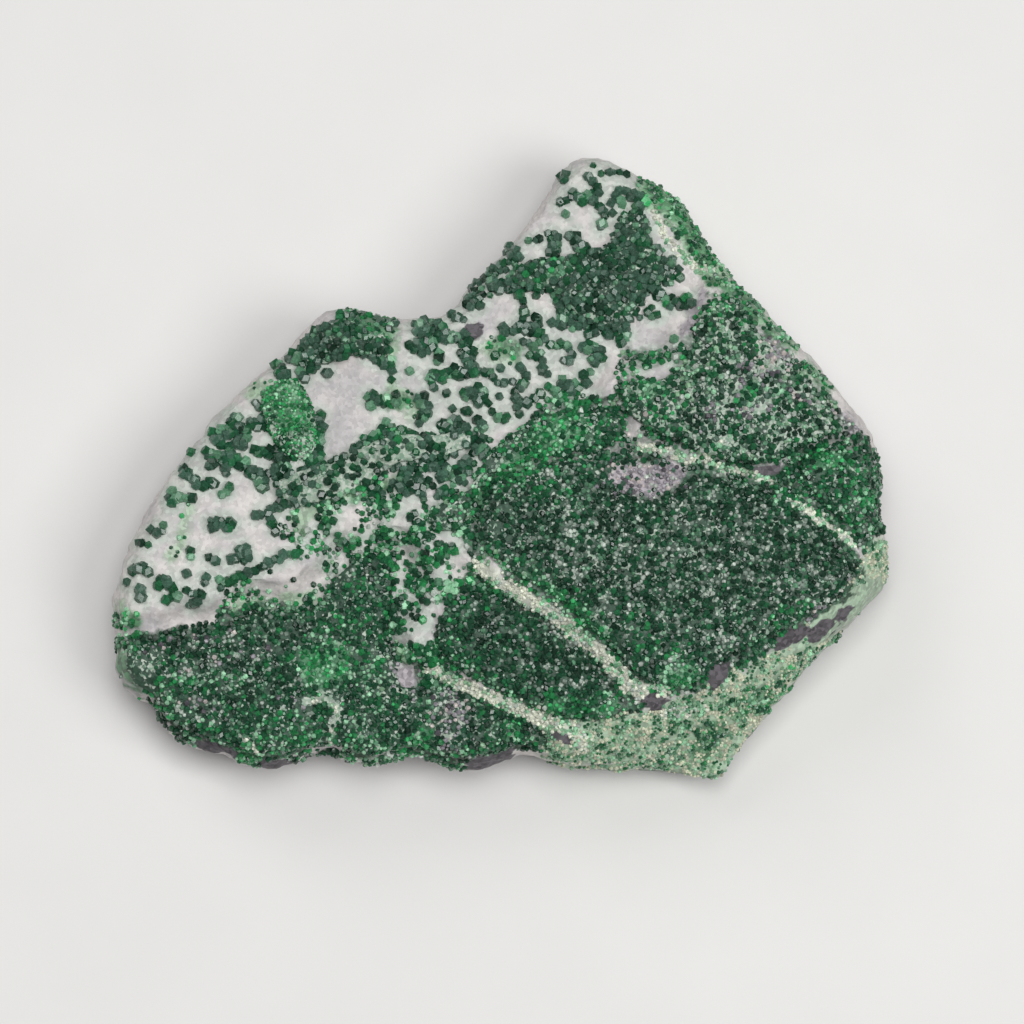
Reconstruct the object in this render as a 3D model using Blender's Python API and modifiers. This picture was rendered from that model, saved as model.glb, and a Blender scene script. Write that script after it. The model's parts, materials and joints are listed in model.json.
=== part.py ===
"""A uvarovite specimen: small green garnets grown in sheets over one face of a loose slab of rock.

The slab lies on its sawn back, crystal face up. Each sheet of garnets that a ledge of bare rock parts
from its neighbours is an object of its own, and the garnets that stand alone are joined to the rock.
All sizes are in millimetres until a mesh is made. X runs right, Y up the face and Z out of it.
"""

import math
import random

import bmesh
import bpy
import numpy as np
from mathutils import Euler, Matrix, Vector, geometry, noise
from mathutils.bvhtree import BVHTree

MM = 0.001

# The slab's outline seen from above, clockwise from its left tip
SLAB_OUTLINE = [
    (-40.1, -14.8), (-38.6, -9.7), (-36.8, -5.5), (-34.5, -1.6), (-31.8, 1.9), (-27.0, 7.4),
    (-22.5, 11.7), (-18.8, 15.5), (-17.0, 16.3), (-15.4, 16.1), (-12.5, 15.3), (-7.4, 15.3),
    (-5.6, 15.8), (-3.8, 17.7), (0.2, 22.2), (2.9, 25.5), (4.9, 28.6), (6.3, 31.1), (7.6, 32.2),
    (9.3, 32.5), (11.0, 32.2), (14.5, 30.3), (16.8, 29.2), (19.5, 26.8), (21.7, 23.0),
    (25.9, 17.7), (31.0, 12.4), (36.1, 6.2), (38.8, 2.4), (39.3, -2.5), (39.2, -5.6),
    (40.1, -9.8), (40.0, -12.0), (38.2, -14.5), (32.3, -20.5), (27.2, -26.3), (22.8, -32.2),
    (20.7, -32.5), (17.4, -31.7), (9.8, -31.5), (6.3, -31.4), (3.9, -30.5), (1.6, -30.3),
    (-1.0, -31.6), (-3.3, -31.9), (-6.2, -31.3), (-9.2, -30.3), (-11.1, -30.9), (-13.6, -31.5),
    (-15.9, -30.7), (-18.3, -29.9), (-20.6, -30.7), (-22.7, -31.5), (-26.0, -31.6),
    (-28.9, -30.1), (-33.0, -29.1), (-34.4, -27.5), (-36.1, -24.8), (-39.1, -23.0),
    (-39.7, -19.3), (-39.5, -17.1),
]

# Each sheet's outline, and how far the rock under it stands above or below the rest of the face
SHEETS = {
    "crust_large_panel": (1.5, [
        (-1.6, -5.2), (0.6, -3.0), (3.6, -1.9), (7.7, -1.3), (10.3, -1.7), (11.1, -3.5), (14.2, -5.3),
        (17.5, -4.9), (19.4, -3.1), (24.9, -3.5), (29.1, -4.8), (31.8, -7.5), (34.9, -10.7),
        (35.3, -13.2), (34.2, -15.1), (30.0, -17.4), (25.6, -19.8), (21.1, -22.2), (19.4, -24.0),
        (15.9, -24.2), (13.5, -22.6), (10.9, -19.5), (7.4, -16.3), (4.1, -14.0), (0.4, -11.9),
        (-1.7, -9.7),
    ]),
    "crust_small_panel": (-0.2, [
        (-5.9, -16.5), (-4.0, -14.9), (-1.1, -14.8), (1.3, -15.7), (4.7, -17.9), (7.8, -20.7),
        (10.5, -23.5), (12.2, -25.9), (11.7, -26.9), (8.6, -27.3), (4.7, -26.4), (1.5, -25.1),
        (-2.0, -23.3), (-4.9, -21.3), (-6.5, -19.1),
    ]),
    "crust_right_lobe": (0.7, [
        (30.7, -1.0), (33.5, 0.2), (36.6, 0.1), (37.2, -2.9), (37.2, -5.7), (36.6, -7.5),
        (35.4, -7.4), (33.3, -5.6), (31.0, -3.3),
    ]),
    "crust_upper_right": (2.2, [
        (12.5, 6.7), (15.3, 7.2), (17.5, 7.4), (19.5, 10.0), (20.3, 13.6), (21.6, 15.4),
        (24.0, 14.7), (27.4, 11.2), (30.5, 7.8), (33.8, 4.3), (35.5, 2.1), (33.6, 1.8), (30.5, 0.4),
        (28.1, -1.0), (24.5, -1.3), (20.9, -0.5), (17.8, 1.0), (15.1, 2.3), (13.2, 4.0),
    ]),
    "crust_lower_left": (-1.8, [
        (-37.8, -19.6), (-34.1, -19.4), (-29.2, -18.0), (-24.3, -15.9), (-19.3, -16.2),
        (-17.5, -13.5), (-15.5, -11.1), (-12.4, -10.1), (-10.9, -12.9), (-11.8, -16.5),
        (-11.6, -19.9), (-10.0, -23.8), (-7.4, -23.8), (-4.8, -23.9), (-1.1, -26.0), (2.0, -27.6),
        (3.2, -29.1), (1.5, -29.2), (-2.0, -30.4), (-6.1, -30.1), (-9.3, -29.2), (-13.3, -30.3),
        (-16.9, -29.2), (-20.5, -29.6), (-23.9, -30.4), (-27.0, -29.6), (-30.6, -28.1),
        (-33.4, -26.7), (-35.6, -23.9), (-37.7, -22.6),
    ]),
    "crust_middle": (0.9, [
        (-7.6, -7.0), (-5.8, -5.0), (-3.6, -4.5), (-2.0, -1.5), (-0.2, 0.7), (2.6, 2.8), (5.8, 4.1),
        (8.9, 3.6), (10.9, 4.8), (12.9, 3.1), (11.8, 0.7), (7.7, 0.1), (3.6, -0.6), (0.0, -2.0),
        (-2.5, -4.5), (-3.4, -7.3), (-5.3, -8.7),
    ]),
    "crust_top": (0.7, [
        (0.4, 17.7), (2.2, 19.5), (5.6, 20.1), (8.7, 20.6), (11.3, 22.0), (12.3, 24.6),
        (14.3, 25.5), (15.5, 23.9), (15.3, 21.5), (17.1, 20.3), (17.4, 18.3), (15.2, 16.8),
        (13.6, 14.1), (12.3, 12.4), (10.1, 13.2), (7.5, 14.2), (6.4, 16.5), (3.0, 17.0),
    ]),
    "crust_crest": (0.8, [
        (-20.3, 11.3), (-17.9, 13.2), (-15.8, 13.4), (-13.8, 12.8), (-11.5, 12.0), (-11.8, 10.0),
        (-14.4, 10.4), (-17.0, 9.5), (-19.6, 9.3),
    ]),
    "crust_pocket": (0.2, [
        (-24.3, 6.6), (-21.7, 8.1), (-20.3, 7.2), (-19.3, 5.0), (-18.6, 2.5), (-18.8, -0.1),
        (-20.5, -0.8), (-22.3, 0.4), (-23.8, 2.6), (-24.4, 4.7),
    ]),
    "crust_band": (0.5, [
        (-22.9, -2.9), (-20.5, -1.8), (-17.6, -1.1), (-14.5, 0.5), (-11.0, 1.9), (-6.3, 1.9),
        (-3.5, 2.3), (-2.4, 0.9), (-6.0, -0.6), (-10.0, -1.0), (-12.1, -2.1), (-15.1, -4.2),
        (-18.4, -5.1), (-21.4, -5.6),
    ]),
}

# Garnets that stand alone on bare rock: x, y and radius
LONE_GARNETS = [
    (-28.7, -7.3, 1.0), (17.9, 15.3, 1.1), (16.0, 14.4, 0.9), (16.1, 10.0, 0.9), (-5.4, 6.0, 0.8),
    (-9.0, 8.5, 0.8), (-10.3, 5.6, 1.3), (-0.7, 9.9, 0.8), (-8.1, -17.5, 0.8), (-9.8, -3.2, 1.2),
    (-32.2, -4.5, 0.9), (-35.4, -8.2, 0.8), (10.4, 28.2, 0.8), (6.8, 26.1, 0.8), (9.2, 10.4, 0.9),
    (-29.8, -0.7, 0.8), (-34.2, -13.4, 0.9), (-26.0, 3.0, 0.9), (1.7, 12.1, 0.8), (-14.5, -7.4, 0.9),
    (-25.2, -10.6, 0.9), (5.9, 6.9, 0.8),
]

# Heights of the bare face above the sawn back
FACE_HEIGHT = 11.8
FACE_SWELL = 1.6
SWELL_CENTRE = (12.0, -2.0)
SWELL_SPREAD = 21.0
PLATEAU_LEVEL = 0.6
LEDGE_SOFTNESS = 0.62
LEDGE_REACH = 2.4

# Rounded swellings along the slab's lower left edge: x, y, radius and height
SWELLINGS = [
    (-24.1, -28.5, 4.6, 1.5), (-13.5, -28.8, 4.4, 1.4), (-3.2, -28.7, 4.2, 1.2),
    (-31.6, -25.0, 5.0, 1.2), (-36.2, -20.5, 3.8, 1.0), (-15.8, 12.4, 4.0, 1.2),
]

# Small pits in the face: x, y, radius and depth
PITS = [(13.8, -3.5, 1.9, 1.3), (-9.6, -21.5, 2.2, 0.9), (15.4, 12.1, 2.2, 0.9), (-12.5, -4.4, 2.0, 0.8)]

# Flat breaks that cut the face away: a point on the upper edge, which way it falls and how steeply
BREAKS = [
    ((21.0, -24.7), -56.0, 50.0, 13.2),
    ((14.0, -27.2), -73.0, 53.0, 12.6),
    ((26.9, 16.2), 44.0, 52.0, 13.2),
    ((37.4, -9.5), -14.0, 60.0, 13.2),
]

# The edge, from the face round to the widest outline, and the undercut from there to the sawn back
RIM_HEIGHT = 6.2
RIM_UNEVENNESS = 1.9
RIM_HEIGHT_BREAKS = 4.6
RIM_ROUNDING = 2.3
RIM_ROUNDING_CHANGE = 1.6
RIM_ROUNDING_BREAKS = 0.9
UNDERCUT = [(0.74, 0.25), (0.42, 1.3), (0.14, 2.9), (0.0, 4.4)]
UNDERCUT_ROUGHNESS = 0.9

# Spacing of the surface's points
OUTLINE_SPACING = 1.75
SHEET_EDGE_SPACING = 1.9
FACE_SPACING = 2.05
RIM_POINT_DEPTHS = (0.35, 1.1, 2.2)

# The sheets of garnets
SHEET_GAP = 0.32
SHEET_THICKNESS = 1.05
SHEET_EDGE_SHARE = 0.45
SHEET_FEATHER = 1.6
GARNET_RADII = (0.65, 1.05)
GARNET_MARGIN = 1.5
GARNET_AREA = 28.0
GARNET_SINK = 0.12
SEED = 7

# Colours
ROCK_COLOUR = (0.42, 0.39, 0.40)
GARNET_COLOURS = {
    "crust_large_panel": (0.02, 0.09, 0.045),
    "crust_small_panel": (0.02, 0.1, 0.045),
    "crust_right_lobe": (0.02, 0.13, 0.05),
    "crust_upper_right": (0.025, 0.12, 0.055),
    "crust_lower_left": (0.02, 0.11, 0.05),
    "crust_middle": (0.02, 0.17, 0.055),
    "crust_top": (0.025, 0.09, 0.05),
    "crust_crest": (0.02, 0.12, 0.05),
    "crust_pocket": (0.025, 0.26, 0.07),
    "crust_band": (0.025, 0.13, 0.055),
}


def smooth_loop(corners, spacing):
    """Points at an even spacing on a smooth closed curve through the corners."""
    corners = np.array(corners, float)
    shares = np.linspace(0, 1, 12, endpoint=False)[:, None]
    before, after, beyond = (np.roll(corners, shift, axis=0) for shift in (1, -1, -2))
    fine = []
    for a, b, c, d in zip(before, corners, after, beyond):
        fine.append(
            0.5 * (2 * b + (c - a) * shares + (2 * a - 5 * b + 4 * c - d) * shares**2
                   + (3 * b - a - 3 * c + d) * shares**3)
        )
    fine = np.vstack(fine + [corners[:1]])
    along = np.concatenate([[0], np.cumsum(np.linalg.norm(np.diff(fine, axis=0), axis=1))])
    stops = np.linspace(0, along[-1], round(along[-1] / spacing), endpoint=False)
    return np.stack([np.interp(stops, along, fine[:, axis]) for axis in (0, 1)], axis=1)


def distance_to(points, loop):
    """How far each point lies from a closed loop of points."""
    start, end = loop, np.roll(loop, -1, axis=0)
    span = end - start
    offset = points[:, None] - start
    share = np.clip((offset * span).sum(2) / (span * span).sum(1), 0, 1)
    return np.linalg.norm(offset - share[..., None] * span, axis=2).min(axis=1)


def inside(points, loop):
    """Which of the points lie inside a closed loop, by counting crossings."""
    start, end = loop, np.roll(loop, -1, axis=0)
    x, y = points[:, 0, None], points[:, 1, None]
    rising = (start[:, 1] > y) != (end[:, 1] > y)
    slope = (end[:, 0] - start[:, 0]) / np.where(end[:, 1] == start[:, 1], 1e-9, end[:, 1] - start[:, 1])
    return (rising & (x < start[:, 0] + (y - start[:, 1]) * slope)).sum(axis=1) % 2 == 1


def rough(points, scale, seed):
    """Smooth noise, about -1 to 1, with features of the given size."""
    return np.array([noise.noise(Vector((x / scale, y / scale, seed))) for x, y in points])


def sheet_levels(points, loops):
    """How far sheets and ledges lift or drop the rock at each point."""
    total = np.full(len(points), math.exp(-((LEDGE_REACH / LEDGE_SOFTNESS) ** 2)))
    level = total * PLATEAU_LEVEL
    for name, loop in loops.items():
        away = np.where(inside(points, loop), 0, distance_to(points, loop))
        weight = np.exp(-((away / LEDGE_SOFTNESS) ** 2))
        total += weight
        level += weight * SHEETS[name][0]
    return level / total


def rock_height(points, slab, loops):
    """Height of the bare rock's face above the sawn back at each point."""
    swell = ((points - SWELL_CENTRE) ** 2).sum(1) / (2 * SWELL_SPREAD**2)
    height = FACE_HEIGHT + FACE_SWELL * np.exp(-swell) + sheet_levels(points, loops)
    height += 0.75 * rough(points, 15, 3.7) + 0.3 * rough(points, 5, 9.1)
    for x, y, radius, lift in SWELLINGS:
        height += lift * np.exp(-((points - (x, y)) ** 2).sum(1) / (radius * radius / 2))
    for x, y, radius, depth in PITS:
        height -= depth * np.exp(-((points - (x, y)) ** 2).sum(1) / (radius * radius / 2))
    broken = np.zeros(len(points))
    for (x, y), heading, slope, edge_height in BREAKS:
        fall = (points - (x, y)) @ (math.cos(math.radians(heading)), math.sin(math.radians(heading)))
        plane = edge_height - math.tan(math.radians(slope)) * fall + 0.35 * rough(points, 4, 5.2)
        broken = np.maximum(broken, np.clip((height - plane) / 2, 0, 1))
        height = np.minimum(height, plane)
    depth = distance_to(points, slab)
    rounding = RIM_ROUNDING + RIM_ROUNDING_CHANGE * rough(points, 9, 8.2)
    rounding += broken * (RIM_ROUNDING_BREAKS - rounding)
    share = np.sqrt(1 - (1 - np.clip(depth / rounding, 0, 1)) ** 2)
    rim = RIM_HEIGHT + RIM_UNEVENNESS * rough(points, 8, 1.3) + broken * (RIM_HEIGHT_BREAKS - RIM_HEIGHT)
    return rim + np.maximum(height - rim, 0.4) * share


def face_points(slab, loops):
    """Points inside the outline: an uneven lattice, and rows along the edge where the face rolls over."""
    chance = random.Random(SEED)
    low, high = slab.min(axis=0), slab.max(axis=0)
    lattice = []
    for row in range(int((high[1] - low[1]) / (FACE_SPACING * 0.866)) + 1):
        for column in range(int((high[0] - low[0]) / FACE_SPACING) + 1):
            lattice.append((
                low[0] + (column + row % 2 / 2 + chance.uniform(-0.18, 0.18)) * FACE_SPACING,
                low[1] + (row * 0.866 + chance.uniform(-0.18, 0.18)) * FACE_SPACING,
            ))
    lattice = np.array(lattice)
    keep = inside(lattice, slab) & (distance_to(lattice, slab) > RIM_POINT_DEPTHS[-1] + 0.8)
    for loop in loops.values():
        keep &= distance_to(lattice, loop) > 0.45 * SHEET_EDGE_SPACING
    found = [lattice[keep]]
    tangent = np.roll(slab, -1, axis=0) - np.roll(slab, 1, axis=0)
    inward = np.stack([tangent[:, 1], -tangent[:, 0]], axis=1)
    inward /= np.linalg.norm(inward, axis=1)[:, None]
    for depth in RIM_POINT_DEPTHS:
        row = slab + inward * depth
        keep = inside(row, slab) & (distance_to(row, slab) > 0.85 * depth)
        for loop in loops.values():
            keep &= distance_to(row, loop) > 0.3
            keep &= ~inside(row, loop) | (depth > 1)
        found.append(row[keep])
    return np.vstack(found)


def surface_net(slab, loops):
    """The face as triangles: its points with their heights, and for each triangle its corners."""
    rings = [slab, *loops.values()]
    free = face_points(slab, loops)
    points, edges = [], []
    for ring in rings:
        first, count = len(points), len(ring)
        points += [Vector(p) for p in ring]
        edges += [(first + i, first + (i + 1) % count) for i in range(count)]
    points += [Vector(p) for p in free]
    corners, _, faces, *_ = geometry.delaunay_2d_cdt(points, edges, [], 1, 1e-5)
    flat = np.array(corners, float)
    height = rock_height(flat, slab, loops)
    return np.column_stack([flat, height]), np.array(faces)


def mesh_object(name, bm, collection, material):
    """A new object from a bmesh whose sizes are in millimetres."""
    bmesh.ops.scale(bm, vec=(MM, MM, MM), verts=bm.verts)
    bmesh.ops.recalc_face_normals(bm, faces=bm.faces)
    mesh = bpy.data.meshes.new(name)
    bm.to_mesh(mesh)
    bm.free()
    obj = bpy.data.objects.new(name, mesh)
    collection.objects.link(obj)
    if material:
        mesh.materials.append(material)
    return obj


def add_undercut(bm, rim):
    """Walls from the widest outline inwards and down, closed by the flat sawn back."""
    start = [vertex.co.copy() for vertex in rim]
    for share, inset in UNDERCUT:
        ring = []
        for point in start:
            away = point.xy.length
            uneven = noise.noise(Vector((point.x / 7, point.y / 7, share * 4)))
            flat = point.xy * (1 - inset * (1 + UNDERCUT_ROUGHNESS * uneven) / away)
            height = point.z * share * (1 + 0.3 * noise.noise(point / 4.5))
            ring.append(bm.verts.new((flat.x, flat.y, height)))
        for i, vertex in enumerate(rim):
            after = (i + 1) % len(rim)
            bm.faces.new((vertex, rim[after], ring[after], ring[i]))
        rim = ring
    bm.faces.new(rim)


def build_rock(net, slab, collection, material):
    """The slab: its face from the net, its undercut edge and its sawn back."""
    points, faces = net
    bm = bmesh.new()
    vertices = [bm.verts.new(point) for point in points]
    for corners in faces:
        bm.faces.new([vertices[i] for i in corners])
    order = [int(np.argmin(np.linalg.norm(points[:, :2] - corner, axis=1))) for corner in slab]
    add_undercut(bm, [vertices[i] for i in order])
    return mesh_object("matrix", bm, collection, material)


def build_sheet(name, loop, net, normals, collection, material):
    """One sheet of garnets: the faces inside its outline, lifted off the rock and given a thickness."""
    points, faces = net
    chosen = faces[inside(points[faces].mean(axis=1)[:, :2], loop)]
    used, index = np.unique(chosen, return_inverse=True)
    lifted = points[used] + normals[used] * SHEET_GAP
    bm = bmesh.new()
    vertices = [bm.verts.new(point) for point in lifted]
    for corners in index.reshape(chosen.shape):
        bm.faces.new([vertices[i] for i in corners])
    obj = mesh_object(name, bm, collection, material)
    cover = obj.vertex_groups.new(name="cover")
    share = np.clip(distance_to(points[used][:, :2], loop) / SHEET_FEATHER, 0, 1)
    uneven = 1 + 0.25 * rough(points[used][:, :2], 3.5, 6.6)
    for i, weight in enumerate(np.clip(share * uneven, 0, 1)):
        cover.add([i], float(weight), "REPLACE")
    shell = obj.modifiers.new("thickness", "SOLIDIFY")
    shell.thickness = SHEET_THICKNESS * MM
    shell.offset = 1.0
    shell.vertex_group = cover.name
    shell.thickness_vertex_group = SHEET_EDGE_SHARE
    return obj


def add_garnet(bm, centre, radius, turn):
    """A rhombic dodecahedron: a cube with a low pyramid raised on each side."""
    cube = bmesh.ops.create_cube(bm, size=radius)["verts"]
    sides = list({face for vertex in cube for face in vertex.link_faces})
    raised = bmesh.ops.poke(bm, faces=sides, offset=radius / 2)
    verts = cube + raised["verts"]
    edges = list({edge for vertex in verts for edge in vertex.link_edges})
    bmesh.ops.dissolve_limit(bm, angle_limit=0.02, verts=verts, edges=edges)
    verts = [vertex for vertex in verts if vertex.is_valid]
    place = Matrix.Translation(centre) @ Euler(turn).to_matrix().to_4x4()
    bmesh.ops.transform(bm, matrix=place, verts=verts)


def garnet_turn(x, y):
    """A crystal's tilt, worked out from where it stands."""
    return (1.7 * x, 2.3 * y, 1.1 * (x + y))


def sheet_places(loop, chance):
    """Places for a sheet's larger garnets, well apart and clear of its edge."""
    low, high = loop.min(axis=0), loop.max(axis=0)
    closed = np.vstack([loop, loop[:1]])
    area = abs(np.sum(closed[:-1, 0] * closed[1:, 1] - closed[1:, 0] * closed[:-1, 1])) / 2
    wanted = max(3, round(area / GARNET_AREA))
    places = []
    for _ in range(60 * wanted):
        spot = np.array([chance.uniform(low[axis], high[axis]) for axis in (0, 1)])
        radius = chance.uniform(*GARNET_RADII)
        clear = all(np.hypot(*(spot - other[:2])) > radius + other[2] + 0.3 for other in places)
        edge = distance_to(spot[None], loop)[0]
        if clear and edge > GARNET_MARGIN and inside(spot[None], loop)[0]:
            places.append((*spot, radius))
        if len(places) == wanted:
            break
    return places


def grow_garnets(obj, places, helpers):
    """Joins a garnet to the object at each place, part sunk into its upper face."""
    graph = bpy.context.evaluated_depsgraph_get()
    tree = BVHTree.FromObject(obj, graph)
    bm = bmesh.new()
    for x, y, radius in places:
        hit, *_ = tree.ray_cast(Vector((x * MM, y * MM, 1)), Vector((0, 0, -1)))
        centre = hit / MM + Vector((0, 0, GARNET_SINK * radius))
        add_garnet(bm, centre, radius, garnet_turn(x, y))
    cutter = mesh_object(obj.name + "_garnets", bm, helpers, None)
    cutter.hide_render = True
    cutter.display_type = "WIRE"
    join = obj.modifiers.new("garnets", "BOOLEAN")
    join.operation = "UNION"
    join.solver = "EXACT"
    join.object = cutter


def face_normals_of(rock, count):
    """Unit normals of the rock's first points, which are those of the face."""
    return np.array([tuple(rock.data.vertices[i].normal) for i in range(count)])


def plain_material(name, colour, roughness):
    """A material of one colour that is no metal."""
    material = bpy.data.materials.new(name)
    material.use_nodes = True
    shader = material.node_tree.nodes["Principled BSDF"]
    shader.inputs["Base Color"].default_value = (*colour, 1)
    shader.inputs["Roughness"].default_value = roughness
    shader.inputs["Metallic"].default_value = 0.0
    return material


def clear_scene():
    for obj in list(bpy.data.objects):
        bpy.data.objects.remove(obj)


def new_collection(name):
    collection = bpy.data.collections.new(name)
    bpy.context.scene.collection.children.link(collection)
    return collection


def main():
    clear_scene()
    specimen = new_collection("uvarovite")
    helpers = new_collection("joined_shapes")
    slab = smooth_loop(SLAB_OUTLINE, OUTLINE_SPACING)
    loops = {name: smooth_loop(corners, SHEET_EDGE_SPACING) for name, (_, corners) in SHEETS.items()}
    net = surface_net(slab, loops)
    rock = build_rock(net, slab, specimen, plain_material("rock", ROCK_COLOUR, 0.7))
    normals = face_normals_of(rock, len(net[0]))
    grow_garnets(rock, LONE_GARNETS, helpers)
    chance = random.Random(SEED)
    for name, loop in loops.items():
        green = plain_material(name, GARNET_COLOURS[name], 0.25)
        sheet = build_sheet(name, loop, net, normals, specimen, green)
        grow_garnets(sheet, sheet_places(loop, chance), helpers)


main()
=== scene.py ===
"""The looks of a uvarovite specimen: broken rock, crusts of small garnets and garnets that stand alone.

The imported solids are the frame. The rock is a finer copy of the frame's rock. Each crust is a finer copy
of its sheet with small garnets grown all over it. Garnets in chains are dropped along the camera's lines
of sight onto the rock. The others grow on the surface itself, so all of them sit on it from any side.
"""

import json
import math
from collections import namedtuple
from functools import partial

import bpy
import numpy as np
from bpy.props import FloatProperty, FloatVectorProperty, IntProperty, PointerProperty
from mathutils import Euler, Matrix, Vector, noise
from mathutils.bvhtree import BVHTree

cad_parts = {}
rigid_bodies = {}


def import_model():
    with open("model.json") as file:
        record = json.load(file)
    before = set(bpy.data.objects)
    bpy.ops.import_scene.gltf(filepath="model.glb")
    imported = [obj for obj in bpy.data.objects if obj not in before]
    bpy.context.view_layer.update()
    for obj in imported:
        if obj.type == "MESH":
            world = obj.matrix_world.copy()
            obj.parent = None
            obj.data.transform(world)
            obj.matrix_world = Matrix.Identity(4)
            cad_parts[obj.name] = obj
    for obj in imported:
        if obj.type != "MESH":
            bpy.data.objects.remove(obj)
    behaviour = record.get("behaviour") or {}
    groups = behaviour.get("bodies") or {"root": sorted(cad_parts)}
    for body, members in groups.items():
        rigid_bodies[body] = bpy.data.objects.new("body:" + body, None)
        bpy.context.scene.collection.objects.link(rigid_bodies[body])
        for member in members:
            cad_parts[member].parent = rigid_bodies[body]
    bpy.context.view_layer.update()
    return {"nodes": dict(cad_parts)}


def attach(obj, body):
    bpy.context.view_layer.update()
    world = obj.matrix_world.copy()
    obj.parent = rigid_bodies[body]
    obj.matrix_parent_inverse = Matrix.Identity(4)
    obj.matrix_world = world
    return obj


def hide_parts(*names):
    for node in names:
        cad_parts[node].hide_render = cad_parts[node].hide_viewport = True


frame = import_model()

bl_info = {
    "name": "Uvarovite specimen",
    "version": (1, 0, 0),
    "blender": (4, 5, 0),
    "location": "3D View > Sidebar > Uvarovite",
    "description": "Builds a slab of rock covered with sheets of small green garnets",
    "category": "Add Mesh",
}

MM = 0.001

# The camera that the photograph was taken with
PHOTO_WIDTH = 1024
CAMERA_LENS = 200.0
SENSOR_WIDTH = 36.0
CAMERA_TILT = math.radians(10)
CAMERA_AIM = (0.0012387, -0.0051845, 0.0080858)
CAMERA_DISTANCE = 0.58724
FOCAL_PIXELS = CAMERA_LENS / SENSOR_WIDTH * PHOTO_WIDTH

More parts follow.
